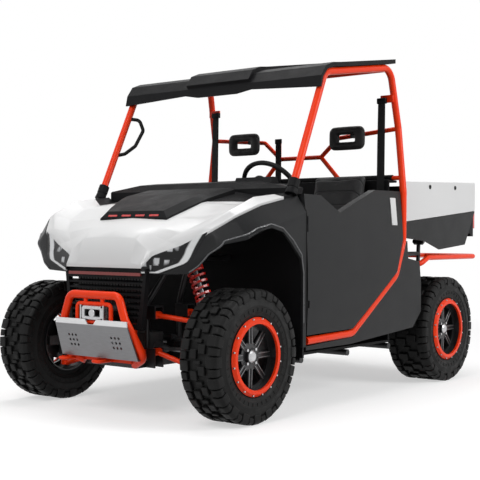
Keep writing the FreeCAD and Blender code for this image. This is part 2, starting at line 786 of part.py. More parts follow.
def make_bumper():
    """The hoop stands upright down to its knees, then runs back and outward to its feet."""
    y = bumper_y
    rail_side = rail_centre + rail_width / 2
    path = [(rail_side, bumper_back, frame_height + rail_height / 2),
            (bumper_foot_half, y + bumper_foot_setback, bumper_height - bumper_foot_drop),
            (bumper_knee_half, y, bumper_height - bumper_knee_drop), (bumper_top_half, y, bumper_height)]
    path = path + [(-x, py, z) for x, py, z in reversed(path)]
    pieces = [tube(path, bumper_tube, bumper_bend)]
    bar_z = bumper_height - inner_bar_drop
    inner = [(inner_hoop_half, y, bar_z), (inner_hoop_half, y, bumper_height - inner_hoop_drop)]
    inner = inner + [(-x, py, z) for x, py, z in reversed(inner)]
    pieces.append(tube(inner, inner_hoop_tube, inner_hoop_tube * 2))
    pieces.append(rod((-bumper_knee_half, y, bar_z), (bumper_knee_half, y, bar_z), inner_hoop_tube))
    for side in (-1, 1):
        x = side * inner_hoop_half / 2
        pieces.append(rod((x, y, bumper_height - inner_hoop_drop), (x, y, bumper_height), inner_hoop_tube))
    plate_rear = plate_low_face + plate_thickness
    low = plate_low - hook_tube * 2
    for x in (0, -plate_half_low + hook_half):
        hook = [(x - hook_half, bumper_back, low), (x - hook_half, plate_rear - hook_reach, low),
                (x + hook_half, plate_rear - hook_reach, low), (x + hook_half, bumper_back, low)]
        pieces.append(tube(hook, hook_tube, hook_half * 0.8))
    pieces.append(box(-rail_side, rail_side, bumper_back - hook_tube, bumper_back + bumper_tube * 4,
                      low - hook_tube, plate_low + bumper_tube * 2))
    drum_y = front_end + winch_setback + winch_radius
    for side in (-1, 1):
        x0, x1 = sorted((side * winch_half, side * (winch_half + winch_bracket)))
        pieces.append(box(x0, x1, drum_y + winch_bracket, drum_y + winch_radius, plate_low, winch_height))
    keep("front_bumper", join(pieces).cut(parts["frame"]))


def make_skid_plate():
    """A drilled plate folded below its top edge, so that it follows the legs of the hoop."""
    outline = [(plate_face, plate_top), (plate_face, plate_fold), (plate_low_face, plate_low),
               (bumper_back - hook_tube - seam, plate_low)]
    inside = [(y + plate_thickness, z) for y, z in outline[:2]]
    inside += [(plate_low_face + plate_thickness, plate_low + plate_thickness),
               (bumper_back - hook_tube - seam, plate_low + plate_thickness)]
    folded = side_prism(outline + list(reversed(inside)), -plate_half_low, plate_half_low)
    right = [(plate_half_low, plate_low), (plate_half_top, plate_top), (plate_notch_half, plate_top),
             (plate_notch_half / 2, plate_top - plate_notch_depth)]
    window = front_prism(right + [(-x, z) for x, z in reversed(right)], front_end, bumper_back)
    plate = folded.common(window)
    holes = []
    for side in (-1, 1):
        for row in range(3):
            for column in range(3):
                x = side * (plate_half_top * 0.6 + (column - 1) * plate_hole_pitch)
                z = (plate_fold + plate_low) / 2 + (row - 1) * plate_hole_pitch
                holes.append(rod((x, front_end, z), (x, bumper_back - hook_tube - cut_overrun, z), plate_hole_radius))
    foot = (bumper_foot_half, bumper_y + bumper_foot_setback, bumper_height - bumper_foot_drop)
    knee = (bumper_knee_half, bumper_y, bumper_height - bumper_knee_drop)
    legs = both([rod(knee, between(foot, knee, -leg_room_share), bumper_tube + fit_gap)])
    keep("skid_plate", plate.cut(Part.Compound(holes + legs)).cut(parts["front_bumper"]))


def make_winch():
    y = front_end + winch_setback + winch_radius
    drum = rod((-winch_half, y, winch_height), (winch_half, y, winch_height), winch_radius)
    housings = [rod((way * (winch_half - winch_radius), y, winch_height), (way * winch_half, y, winch_height),
                    winch_radius + winch_flange) for way in (-1, 1)]
    face = bumper_y + inner_hoop_tube + seam
    back = face + fairlead_roller * 2
    plate = box(-fairlead_half, fairlead_half, back, back + plate_thickness,
                winch_height - fairlead_height / 2, winch_height + fairlead_height / 2)
    slot = box(-fairlead_half + fairlead_roller * 3, fairlead_half - fairlead_roller * 3, face, y,
               winch_height - fairlead_roller, winch_height + fairlead_roller)
    rollers = []
    for way in (-1, 1):
        z = winch_height + way * fairlead_roller * 2
        rollers.append(rod((-fairlead_half, face + fairlead_roller, z),
                           (fairlead_half, face + fairlead_roller, z), fairlead_roller))
        x = way * (fairlead_half - fairlead_roller * 2)
        rollers.append(rod((x, face + fairlead_roller, winch_height - fairlead_height / 2),
                           (x, face + fairlead_roller, winch_height + fairlead_height / 2), fairlead_roller))
    ties = []
    for way in (-1, 1):
        x = way * (fairlead_half - fairlead_roller)
        ties.append(box(x - fairlead_roller / 2, x + fairlead_roller / 2, back, y,
                        winch_height - fairlead_roller, winch_height + fairlead_roller))
    keep("winch", join([drum, plate.cut(slot)] + housings + rollers + ties))


# Cab tub: floor, front wall and the brackets of the door hinges
hinge_pin_radius = 5.0
hinge_arm_height = 34.0
hinge_pin_rise = 44.0
hinge_low_height = 560.0
hinge_high_height = 960.0
hinge_inset = 4.0
tub_wall = 14.0
tub_inset = 90.0
front_wall_top = 1140.0
rear_panel_ahead = 50.0
rear_panel_top = 1262.0
rear_panel_thickness = 16.0

hinge_x = half_width - hinge_inset
hinge_y = door_front + hinge_inset
tub_half = half_width - tub_inset
rear_panel_y = door_rear - rear_panel_ahead
floor_top = frame_height + rail_height + tub_wall


def hinge_brackets():
    """Plates behind the fender's edge with the door's hinge pins on their arms."""
    wall = hood_y(nose_sections_shares[-1][0]) + seam
    plate_rear = hinge_y - hinge_pin_radius * 1.5
    outer = hinge_x + hinge_pin_radius / 2
    pieces = []
    for z in (hinge_low_height, hinge_high_height):
        high = z + hinge_arm_height
        pieces.append(box(hinge_x - hinge_pin_radius * 6, outer, wall, plate_rear, z, high))
        pieces.append(box(hinge_x - hinge_pin_radius, outer, plate_rear, hinge_y, z, high))
        pieces.append(rod((hinge_x, hinge_y, z), (hinge_x, hinge_y, high + hinge_pin_rise), hinge_pin_radius))
    return pieces


def make_tub():
    low = frame_height + rail_height
    wall_y = hood_y(nose_sections_shares[-1][0]) + seam - tub_wall
    floor = box(-tub_half, tub_half, wall_y, rear_panel_y + rear_panel_thickness, low, low + tub_wall)
    slab = box(-half_width, half_width, wall_y, wall_y + tub_wall, low, front_wall_top)
    front = body_loft(skin + fit_gap, cut_overrun).common(slab)
    keep("cab_tub", join([floor, front] + both(hinge_brackets())))
    panel = box(-tub_half, tub_half, rear_panel_y, rear_panel_y + rear_panel_thickness, floor_top, rear_panel_top)
    ledge = box(-tub_half, tub_half, rear_panel_y, bed_front - panel_gap * 2,
                rear_panel_top, rear_panel_top + tub_wall)
    keep("cab_rear_panel", join([panel, ledge]))


# Dashboard and the steering column with its wheel
dash_inset = 135.0
dash_low = 985.0
dash_depth = 152.0
dash_lip = 42.0
dash_crown_share = 0.3
dash_end_drop = 34.0
binnacle_half = 128.0
binnacle_rise = 26.0
wheel_x = 380.0
wheel_behind = 232.0
wheel_z = 1195.0
wheel_radius = 178.0
wheel_rim_radius = 14.0
wheel_rim_facets = 8
wheel_hub_radius = 44.0
wheel_hub_thickness = 26.0
wheel_spoke = 11.0
wheel_rake = 35.0
column_radius = 24.0
column_length = 176.0

dash_half = half_width - dash_inset
dash_face_y = door_front + dash_depth
wheel_y = door_front + wheel_behind
rake = math.radians(wheel_rake)
column_way = V(0, math.cos(rake), math.sin(rake))


def along_column(distance):
    place = V(wheel_x, wheel_y, wheel_z) + column_way * distance
    return (place.x, place.y, place.z)


def make_dash():
    """The dashboard crowns at the middle and carries the instrument binnacle before the driver."""
    wall = hood_y(nose_sections_shares[-1][0]) + seam
    outline = [(wall, cowl_height - dash_lip), (wall + dash_lip, cowl_height),
               (dash_face_y - dash_lip, cowl_height + dash_lip / 4), (dash_face_y, cowl_height - dash_lip),
               (dash_face_y - dash_lip, dash_low + dash_lip * 2), (dash_face_y - dash_lip * 3, dash_low), (wall, dash_low)]
    crown = dash_half * dash_crown_share
    high = cowl_height + dash_lip
    front = [(-dash_half, dash_low), (dash_half, dash_low), (dash_half, cowl_height - dash_end_drop),
             (crown, high), (-crown, high), (-dash_half, cowl_height - dash_end_drop)]
    dash = side_prism(outline, -dash_half, dash_half).common(front_prism(front, wall, dash_face_y))
    hump = side_prism([(wall + dash_lip, cowl_height - dash_lip), (wall + dash_lip * 2, cowl_height + binnacle_rise),
                       (dash_face_y - dash_lip, cowl_height + binnacle_rise), (dash_face_y, cowl_height - dash_lip)],
                      wheel_x - binnacle_half, wheel_x + binnacle_half)
    column = rod(along_column(-column_length), along_column(-wheel_hub_thickness - fit_gap), column_radius)
    keep("dashboard", join([dash, hump, column]))


def make_steering_wheel():
    profile = [(math.cos(turn) * wheel_rim_radius, wheel_radius + math.sin(turn) * wheel_rim_radius)
               for turn in [2 * math.pi * step / wheel_rim_facets for step in range(wheel_rim_facets)]]
    ring = lathe(profile, (wheel_x, wheel_y, wheel_z), 1)
    ring = ring.rotate(V(wheel_x, wheel_y, wheel_z), V(0, 0, 1), 90)
    ring = ring.rotate(V(wheel_x, wheel_y, wheel_z), V(1, 0, 0), wheel_rake)
    hub = rod(along_column(-wheel_hub_thickness), along_column(0), wheel_hub_radius)
    pieces = [ring, hub]
    across = V(1, 0, 0)
    middle = V(*along_column(-wheel_hub_thickness / 2))
    centre = V(wheel_x, wheel_y, wheel_z)
    for turn in (0, 90, 180):
        arm = Part.makeCylinder(wheel_spoke, wheel_radius, middle, across)
        pieces.append(arm.rotate(centre, column_way, turn))
    keep("steering_wheel", join(pieces))


# Steering rack between the arms, with a tie rod to each knuckle
rack_bar = 10.0
rack_case_radius = 25.0
rack_case_half = 160.0
rack_foot_half = 26.0
tie_rod_radius = 9.0
tie_eye_radius = 15.0
tie_eye_height = 18.0


def make_rack():
    y = front_axle + steering_arm_length
    z = tyre_radius + steering_arm_rise - tie_eye_height / 2 - seam * 2
    case = sleeve((-rack_case_half, y, z), (rack_case_half, y, z), rack_case_radius, rack_bar + bearing_gap)
    feet = [box(side * rail_centre - rack_foot_half, side * rail_centre + rack_foot_half, y - rack_case_radius,
                y + rack_bar, frame_height + rail_height, z - rack_bar - seam * 2) for side in (-1, 1)]
    room = rod((-half_width, y, z), (half_width, y, z), rack_bar + bearing_gap)
    keep("rack_case", join([case] + feet).cut(room))
    bar = rod((-rack_case_half * 1.6, y, z), (rack_case_half * 1.6, y, z), rack_bar)
    pieces = [bar, rod((-kingpin_x, y, z), (kingpin_x, y, z), tie_rod_radius)]
    for side in (-1, 1):
        pieces.append(rod((side * kingpin_x, y, z - tie_eye_height / 2),
                          (side * kingpin_x, y, z + tie_eye_height / 2), tie_eye_radius))
    keep("steering_rack", join(pieces))


# Roll cage: one tube a side frames the cab and the doorway, tied across above and behind the seats
cage_tube = 21.0
cage_bend = 85.0
brace_tube = 14.0
pillar_foot_inset = 78.0
pillar_foot_ahead = 40.0
pillar_foot_drop = 66.0
roof_front_behind = 277.0
roof_rear_ahead = 50.0
shoulder_inset = 68.0
shoulder_behind = 27.0
shoulder_height = 1590.0
waist_inset = 28.0
waist_behind = 21.0
waist_height = 1205.0
sill_line_inset = 25.0
door_tail_behind = 12.0
door_tail_height = 905.0
door_heel_ahead = 78.0
door_heel_height = 700.0
sill_rear_ahead = 568.0
sill_rear_rise = 38.0
sill_front_behind = 17.0
sill_front_rise = 28.0
cross_bar_drop = 36.0
cross_inner_x = 290.0
cross_centre_x = 160.0
cross_centre_height = 1440.0
cross_low_x = 300.0
cross_low_height = 1290.0
belt_anchor_height = 1763.0
clamp_radius = 31.0
clamp_low_share = 0.03
clamp_high_share = 0.10

sill_line_x = half_width - sill_line_inset
pillar_foot = (half_width - pillar_foot_inset, door_front - pillar_foot_ahead, cowl_height - pillar_foot_drop)
roof_front = (roof_rail_width / 2, door_front + roof_front_behind, roof_front_height)
roof_rear = (roof_rail_width / 2, door_rear - roof_rear_ahead, roof_rear_height)
shoulder = (half_width - shoulder_inset, door_rear + shoulder_behind, shoulder_height)
waist = (half_width - waist_inset, door_rear + waist_behind, waist_height)
door_tail = (sill_line_x, door_rear + door_tail_behind, door_tail_height)
door_heel = (sill_line_x, door_rear - door_heel_ahead, door_heel_height)
sill_rear = (sill_line_x, door_rear - sill_rear_ahead, sill_height + sill_rear_rise)
sill_front = (sill_line_x, door_front + sill_front_behind, sill_height + sill_front_rise)


def make_cage():
    side = tube([pillar_foot, roof_front, roof_rear, shoulder, waist, door_tail, door_heel, sill_rear, sill_front],
                cage_tube, cage_bend)
    pieces = both([side])
    for x, y, z in (roof_front, roof_rear):
        y = y + math.copysign(cage_bend / 4, -y)
        pieces.append(rod((-x, y, z - brace_tube), (x, y, z - brace_tube), brace_tube))
    x, y, z = shoulder
    bar = [(x, y, z), (cross_inner_x, y, z - cross_bar_drop), (cross_centre_x, y, cross_centre_height)]
    bar = bar + [(-px, py, pz) for px, py, pz in reversed(bar)]
    pieces.append(tube(bar, brace_tube, brace_tube * 2))
    for side in (-1, 1):
        pieces.append(rod((side * cross_centre_x, y, cross_centre_height),
                          (side * cross_low_x, y, cross_low_height), brace_tube))
    x, y, z = waist
    pieces.append(rod((-x, y, cross_low_height), (x, y, cross_low_height), brace_tube))
    keep("cage", join(pieces).cut(body_loft(-fit_gap * 2, cut_overrun)).cut(parts["hood_insert"]))


# Roof: a panel with a raised middle, whose front edge bows down over the windscreen opening
roof_half = 735.0
roof_skin = 26.0
roof_overhang_rear = 20.0
brow_depth = 189.0
brow_height = 137.0
brow_behind = 119.0
brow_thickness = 13.0
brow_inner_shares = [(0.34, 0.955), (0.68, 0.79), (0.91, 0.43), (1.00, 0.00)]
brow_outer_shares = [(0.38, 1.120), (0.75, 0.93), (0.99, 0.49), (1.07, 0.00)]
brow_edge_shares = [(1.02, 0.02), (0.34, 0.21), (0.20, 0.08)]
roof_rib_half = 236.0
roof_rib_slope = 34.0
roof_rib_rise = 22.0


def roof_seat(y):
    slope = (roof_rear[2] - roof_front[2]) / (roof_rear[1] - roof_front[1])
    return roof_front[2] + (y - roof_front[1]) * slope + cage_tube * math.hypot(1, slope) + fit_gap


def make_roof():
    start = roof_front[1] + brow_behind
    rear = roof_rear[1] + roof_overhang_rear
    low = roof_seat(start) - brow_height

    def brow(shares):
        return [(start - brow_depth * y, low + brow_height * z) for y, z in shares]

    under = [(rear, roof_seat(rear)), (start, roof_seat(start))] + brow(brow_inner_shares)
    upper = brow(reversed(brow_outer_shares)) + [(start, roof_seat(start) + roof_skin), (rear, roof_seat(rear) + roof_skin)]
    panel = side_prism(under + upper, -roof_half, roof_half)
    wires = []
    for half, rise in ((roof_rib_half + roof_rib_slope, 0), (roof_rib_half, roof_rib_rise)):
        wires.append((half, [(y - rise / 3, z + rise) for y, z in upper[1:-1]] + [(rear - roof_rib_slope, upper[-1][1] + rise)]))
    base = [(start, roof_seat(start)), (rear - roof_rib_slope, roof_seat(rear))]
    rib = side_prism(wires[1][1] + list(reversed(base)) + [under[-2]], -roof_rib_half, roof_rib_half)
    edge = [(x * roof_half, low + brow_height * z) for x, z in brow_edge_shares]
    trim = edge + [(-x, z) for x, z in reversed(edge)] + [(-roof_half * 2, 0), (roof_half * 2, 0)]
    trim = front_prism(trim, front_end, roof_front[1] - cage_tube)
    keep("roof", join([panel, rib]).cut(trim).cut(parts["cage"]))


# Seats, see-through headrests, belts and the passenger's grab handle
seat_x = 405.0
seat_half = 215.0
seat_base_low = 470.0
seat_cushion_low = 640.0
seat_cushion_high = 765.0
seat_front_behind = 372.0
seat_foot_ahead = 218.0
seat_top_ahead = 83.0
seat_back_top = 1322.0
seat_back_thickness = 95.0
seat_top_thickness = 66.5
seat_edge_radius = 28.5
seat_base_inset = 14.0
seat_base_setback = 56.0
seat_shoulder_half = 165.0
headrest_half = 128.0
headrest_height = 145.0
headrest_z = 1542.0
headrest_ahead = 30.0
headrest_thickness = 44.0
headrest_window_half = 56.0
headrest_window_height = 42.0
headrest_corner_radius = 43.5
belt_width = 50.0
belt_thickness = 4.0
belt_inset = 55.0
belt_foot_height = 800.0
buckle_x = 178.0
buckle_ahead = 300.0
buckle_half = 8.0
buckle_rise = 50.0
handle_tube = 11.0
handle_bend = 34.0
handle_reach_in = 86.0
handle_reach_back = 80.0
handle_shares = [(0.740, 0.00), (0.730, 0.60), (0.630, 1.00), (0.480, 0.86), (0.405, 0.46), (0.385, 0.00)]

seat_front_y = door_front + seat_front_behind
seat_back_foot_y = door_rear - seat_foot_ahead
seat_back_top_y = door_rear - seat_top_ahead
headrest_y = door_rear - headrest_ahead
buckle_y = seat_back_foot_y - buckle_ahead
belt_x = roof_rail_width / 2 - belt_inset


def make_seats():
    left, right = seat_x - seat_half, seat_x + seat_half
    cushion = box(left, right, seat_front_y, seat_back_foot_y, seat_cushion_low, seat_cushion_high)
    edges = [edge for edge in cushion.Edges if edge.CenterOfMass.z > seat_cushion_high - seam]
    cushion = cushion.makeFillet(seat_edge_radius, edges)
    waist_z = (seat_cushion_high + seat_back_top) / 2
    outline = [(left, seat_cushion_low), (right, seat_cushion_low), (right, waist_z),
               (seat_x + seat_shoulder_half, seat_back_top), (seat_x - seat_shoulder_half, seat_back_top), (left, waist_z)]
    side = [(seat_back_foot_y - seat_back_thickness, seat_cushion_low), (seat_back_foot_y, seat_cushion_low),
            (seat_back_top_y, seat_back_top), (seat_back_top_y - seat_top_thickness, seat_back_top)]
    back = front_prism(outline, seat_front_y, seat_back_top_y).common(side_prism(side, 0, half_width))
    keep("seats", *both([join([cushion, back])]))
    base = box(left + seat_base_inset, right - seat_base_inset, seat_front_y + seat_base_setback, seat_back_foot_y,
               floor_top, seat_cushion_low)
    keep("seat_bases", *both([base]))


def make_headrests():
    y = headrest_y
    pad = box(seat_x - headrest_half, seat_x + headrest_half, y - headrest_thickness, y,
              headrest_z - headrest_height / 2, headrest_z + headrest_height / 2)
    corner = [edge for edge in pad.Edges if abs(edge.CenterOfMass.y - y + headrest_thickness / 2) < seam]
    pad = pad.makeFillet(headrest_corner_radius, corner)
    window = box(seat_x - headrest_window_half, seat_x + headrest_window_half,
                 y - headrest_thickness - cut_overrun, y + cut_overrun,
                 headrest_z - headrest_window_height / 2, headrest_z + headrest_window_height / 2)
    stalk_z = headrest_z + headrest_window_height
    stalk = rod((seat_x, y - seam, stalk_z), (seat_x, shoulder[1], stalk_z), handle_tube)
    keep("headrests", *both([join([pad.cut(window), stalk]).cut(parts["cage"])]))


def belt(x, y0, z0, y1, z1):
    return side_prism([(y0, z0), (y0 + belt_thickness, z0), (y1 + belt_thickness, z1), (y1, z1)],
                      x - belt_width / 2, x + belt_width / 2)


def make_belts():
    share = (roof_rear[2] - belt_anchor_height) / (roof_rear[2] - shoulder[2])
    top_y = between(roof_rear, shoulder, share)[1]
    start_y = top_y - cage_tube * 2
    low_y = rear_panel_y - belt_thickness * 2 - seam
    low_x, high_x = belt_x - belt_width / 2, belt_x + belt_width / 2
    hang = belt(belt_x, start_y, belt_anchor_height, low_y, cowl_height)
    drop = belt(belt_x, low_y, cowl_height, low_y, belt_foot_height)
    anchor = box(low_x, roof_rear[0] + cage_tube, start_y - belt_thickness, top_y,
                 belt_anchor_height - belt_width / 2, belt_anchor_height + belt_width / 2)
    reel = box(low_x, high_x, low_y - belt_width, rear_panel_y, belt_foot_height - belt_width, belt_foot_height)
    low_x, high_x = buckle_x - buckle_half, buckle_x + buckle_half
    stalk = box(low_x, high_x, buckle_y, buckle_y + belt_width, seat_cushion_low, seat_cushion_high + buckle_rise)
    foot = box(low_x, seat_x - seat_half + seat_base_inset, buckle_y, buckle_y + belt_width,
               seat_base_low, seat_cushion_low)
    keep("seat_belts", *both([join([hang, drop, anchor, reel]).cut(parts["cage"]), join([stalk, foot])]))


def make_handle():
    """A D-shaped grab bar on the passenger's pillar, and the clamps at both pillars' feet."""
    path = []
    for share, reach in handle_shares:
        x, y, z = between(pillar_foot, roof_front, share)
        path.append((handle_reach_in * reach - x, y + handle_reach_back * reach, z))
    keep("grab_handle", tube(path, handle_tube, handle_bend).cut(parts["cage"]))
    clamp = rod(between(pillar_foot, roof_front, clamp_low_share), between(pillar_foot, roof_front, clamp_high_share),
                clamp_radius)
    keep("pillar_clamps", *both([clamp.cut(parts["cage"])]))


# Powertrain: a plain engine block ahead of the rear axle, both gearcases and the silencer
engine_half = 225.0
engine_front_behind = 24.0
engine_rear_ahead = 170.0
front_case_rise = 84.0
case_drop = 76.0
silencer_radius = 74.0
silencer_half = 215.0
silencer_behind = 271.0
silencer_height = 600.0
exhaust_pipe = 22.0
exhaust_tip_x = 150.0


engine_front = door_rear + engine_front_behind
engine_rear = rear_axle - engine_rear_ahead
silencer_y = rear_axle + silencer_behind


def make_powertrain():
    low = frame_height + rail_height
    engine = box(-engine_half, engine_half, engine_front, engine_rear, low, engine_top)
    rear = box(-rear_gearcase_half_width, rear_gearcase_half_width, engine_rear, rear_axle + gearcase_length / 2,
               tyre_radius - case_drop, tyre_radius + front_case_rise)
    start, end = front_axle - gearcase_length / 3, front_axle + gearcase_length / 6
    front = box(-front_gearcase_half_width, front_gearcase_half_width, start, end,
                tyre_radius - case_drop, tyre_radius + front_case_rise)
    inner = rail_centre - rail_width / 2
    foot = box(-inner, inner, start, end, tyre_radius - case_drop, frame_height + rail_height)
    keep("powertrain", join([engine, rear]), front.fuse(foot))
    can = rod((-silencer_half, silencer_y, silencer_height), (silencer_half, silencer_y, silencer_height),
              silencer_radius)
    pipe = rod((0, engine_rear, silencer_height), (0, silencer_y, silencer_height), exhaust_pipe)
    tip = rod((-exhaust_tip_x, silencer_y, silencer_height), (-exhaust_tip_x, bed_hinge_y, silencer_height), exhaust_pipe)
    keep("exhaust", join([can, pipe, tip]))


# Belly plate under the rails
def make_underbody():
    half = rail_centre + rail_width
    keep("belly_plate", box(-half, half, front_axle + arm_spread * 2, rear_axle - arm_spread * 2,
                            frame_height - skid_thickness, frame_height))


# Lower side panels behind the doorway and the rocker bars below it
side_panel_inset = 20.0
side_panel_thickness = 22.0
side_panel_shares = [(0.016, 0.346), (0.438, 0.346), (1.526, 0.394), (1.940, 0.492), (1.940, 0.670), (1.861, 0.815),
                     (1.286, 0.838), (1.240, 0.948), (1.157, 0.948), (0.950, 0.729), (0.458, 0.386), (0.016, 0.369)]


def flank_y(share):
    """Up to 1 a share of the door, beyond it one of the room between the door and the rear tyre."""
    room = rear_axle - tyre_radius - door_rear
    return door_front + door_length * min(share, 1) + room * max(share - 1, 0)


def make_side_panels():
    outline = [(flank_y(y), bed_floor_height * z) for y, z in side_panel_shares]
    out = half_width - side_panel_inset
    panel = side_prism(outline, out - side_panel_thickness, out)
    keep("side_panels", *both([panel.cut(parts["cage"]).cut(parts["frame"])]))


# Rear bumper: a low tube round the tail and the hitch receiver under it
tail_tube = 17.0
tail_inset = 22.0
tail_height = 800.0
tail_front_ahead = 305.0
tail_front_height = 752.0
tail_bend = 60.0


def make_rear_bumper():
    end = rear_end - tail_tube
    tail_x = bed_width / 2 - tail_inset
    tail_front_y = rear_axle - tail_front_ahead
    path = [(tower_x, tail_front_y, tail_front_height), (tail_x, tail_front_y, tail_front_height),
            (tail_x, tail_front_y + cross_width * 2, tail_height), (tail_x, end, tail_height)]
    path = path + [(-x, y, z) for x, y, z in reversed(path)]
    hoop = tube(path, tail_tube, tail_bend)
    stays = []
    for side in (-1, 1):
        stays.append(rod((side * bed_hinge_x, bed_hinge_y, tail_height), (side * bed_hinge_x, end, tail_height),
                         tower_tube))
        stays.append(rod((side * tower_x, tail_front_y, tail_front_height),
                         (side * tower_x, tail_front_y, tyre_radius + damper_top_rise), tail_tube))
    keep("rear_bumper", join([hoop] + stays).cut(parts["rear_towers"]))


def make_hitch():
    half = hitch_width / 2
    z = frame_height + rail_height - half - hitch_wall
    end = bed_hinge_y + hitch_reach
    start = end - hitch_length
    outer = box(-half - hitch_wall, half + hitch_wall, start, end, z - half - hitch_wall, z + half + hitch_wall)
    inside = box(-half, half, start + hitch_wall, end + cut_overrun, z - half, z + half)
    pin = rod((-half * 3, end - half * 2, z), (half * 3, end - half * 2, z), hitch_pin_radius)
    keep("hitch_receiver", outer.cut(inside).cut(pin).cut(parts["frame"]))


# Cargo bed: a flat floor, four walls, capped side rails, a tailgate that drops level with the floor
bed_wall = 18.0
bed_floor_thickness = 26.0
bed_skin = 14.0
rail_cap_height = 30.0
rail_cap_width = 34.0
trim_top_front = 1022.0
trim_top_rear = 1108.0
trim_low_front = 924.0
trim_low_middle = 850.0
trim_low_rear = 880.0
trim_tail_setback = 150.0
trim_knee_share = 0.26
trim_low_share = 0.47
tailgate_thickness = 35.0
tailgate_pin_radius = 8.0
tailgate_pin_inset = 10.0
tailgate_pin_length = 24.0
tailgate_top_drop = 8.0
bed_bracket_thickness = 12.0
bed_bracket_gap = 5.0
bed_rib_half = 26.0
bed_rib_height = 24.0
lamp_width = 60.0
lamp_height = 118.0
lamp_depth = 26.0

bed_half = bed_width / 2
bed_floor_top = bed_floor_height + bed_floor_thickness
gate_inner_y = bed_rear - tailgate_thickness
gate_half = bed_half - lamp_width - panel_gap
gate_axis_y = bed_rear - tailgate_pin_inset
gate_axis_z = bed_floor_top - (gate_axis_y - gate_inner_y)


def rail_height_at(y):
    share = (y - bed_front) / (bed_rear - bed_front)
    return bed_rail_front_height + (bed_rail_rear_height - bed_rail_front_height) * share


def make_bed():
    inner = bed_half - bed_skin - bed_wall
    floor = box(-inner, inner, bed_front, gate_inner_y - panel_gap, bed_floor_height, bed_floor_top)
    low = gate_axis_z - tailgate_pin_radius * 2.5
    front_top = rail_height_at(bed_front) - rail_cap_height
    rear_top = rail_height_at(bed_rear) - rail_cap_height
    wall = side_prism([(bed_front, bed_floor_height), (gate_inner_y - panel_gap, bed_floor_height),
                       (gate_inner_y, low), (bed_rear, low), (bed_rear, rear_top), (bed_front, front_top)],
                      inner, inner + bed_wall)
    post = side_prism([(gate_inner_y, low), (bed_rear, low), (bed_rear, rear_top),
                       (gate_inner_y, rail_height_at(gate_inner_y) - rail_cap_height)], gate_half + panel_gap, inner)
    head = box(-inner, inner, bed_front, bed_front + bed_wall, bed_floor_height, front_top)
    pieces = [floor, head] + both([wall, post])
    for share in (0.25, 0.75):
        x = inner * (share * 2 - 1)
        pieces.append(box(x - bed_rib_half, x + bed_rib_half, bed_front, gate_inner_y - panel_gap * 3,
                          bed_floor_height - bed_rib_height, bed_floor_height))
    for side in (-1, 1):
        for way in (-1, 1):
            start = side * bed_hinge_x + way * (tower_tube + bed_bracket_gap)
            x0, x1 = sorted((start, start + way * bed_bracket_thickness))
            plate = box(x0, x1, bed_hinge_y - hinge_post_width / 2, gate_inner_y - panel_gap,
                        bed_hinge_height, bed_floor_height)
            boss = rod((x0, bed_hinge_y, bed_hinge_height), (x1, bed_hinge_y, bed_hinge_height), hinge_post_width / 2)
            pieces.append(plate.fuse(boss))
    reach = gate_half + tailgate_pin_length + seam
    bores = [rod((-half_width, bed_hinge_y, bed_hinge_height), (half_width, bed_hinge_y, bed_hinge_height),
                 bed_hinge_radius + bearing_gap),
             rod((-reach, gate_axis_y, gate_axis_z), (reach, gate_axis_y, gate_axis_z),
                 tailgate_pin_radius + bearing_gap)]
    keep("cargo_bed", join(pieces).cut(Part.Compound(bores)))

    skin_in = inner + bed_wall
    white = [(bed_front, trim_top_front + seam), (bed_rear, trim_top_rear + seam),
             (bed_rear, rear_top), (bed_front, front_top)]
    cap = [(bed_front, front_top), (bed_rear, rear_top),
           (bed_rear, rail_height_at(bed_rear)), (bed_front, rail_height_at(bed_front))]
    panel = join([side_prism(white, skin_in, bed_half), side_prism(cap, bed_half - rail_cap_width, bed_half)])
    keep("bed_side_panels", *both([panel]))
    middle = bed_front + (bed_rear - bed_front) * trim_low_share
    quarter = bed_front + (bed_rear - bed_front) * trim_knee_share
    trim = [(bed_front, trim_top_front), (bed_rear, trim_top_rear), (bed_rear - trim_tail_setback, trim_low_rear),
            (middle, trim_low_middle), (quarter, trim_low_front - bed_wall), (bed_front, trim_low_front)]
    keep("bed_side_trim", *both([side_prism(trim, skin_in, bed_half)]))


def make_tailgate():
    top = rail_height_at(bed_rear) - tailgate_top_drop
    panel = box(-gate_half, gate_half, gate_inner_y, bed_rear, gate_axis_z, top)
    roll = rod((-gate_half, gate_axis_y, gate_axis_z), (gate_half, gate_axis_y, gate_axis_z), tailgate_pin_inset)
    reach = gate_half + tailgate_pin_length
    pins = rod((-reach, gate_axis_y, gate_axis_z), (reach, gate_axis_y, gate_axis_z), tailgate_pin_radius)
    keep("tailgate", join([panel, roll, pins]))


def make_tail_lamps():
    low = trim_top_rear - lamp_height
    lamp = box(bed_half - lamp_width, bed_half - bed_skin - seam, bed_rear, bed_rear + lamp_depth,
               low, low + lamp_height)
    keep("tail_lamps", *both([lamp]))


# Doors: one curved panel a side, its top edge dipped, its tail cut along the cage tube
door_skin = 44.0
door_low = 412.0
door_arc_low_inset = 4.0
door_arc_high_inset = 34.0
door_outline_shares = [(0.000, 0.334), (0.439, 0.339), (0.902, 0.586), (0.981, 0.743), (0.988, 0.978), (0.704, 0.976),
                       (0.443, 0.900), (0.324, 0.862), (0.152, 0.936), (0.000, 0.938)]


def door_section(x_shift, y):
    out = half_width + x_shift
    low = V(out - door_arc_low_inset, y, door_low - cut_overrun)
    high = V(out - door_arc_high_inset, y, cowl_height)
    middle = V(out, y, door_low + (cowl_height - door_low) / 2)
    return Part.Arc(low, middle, high).toShape()


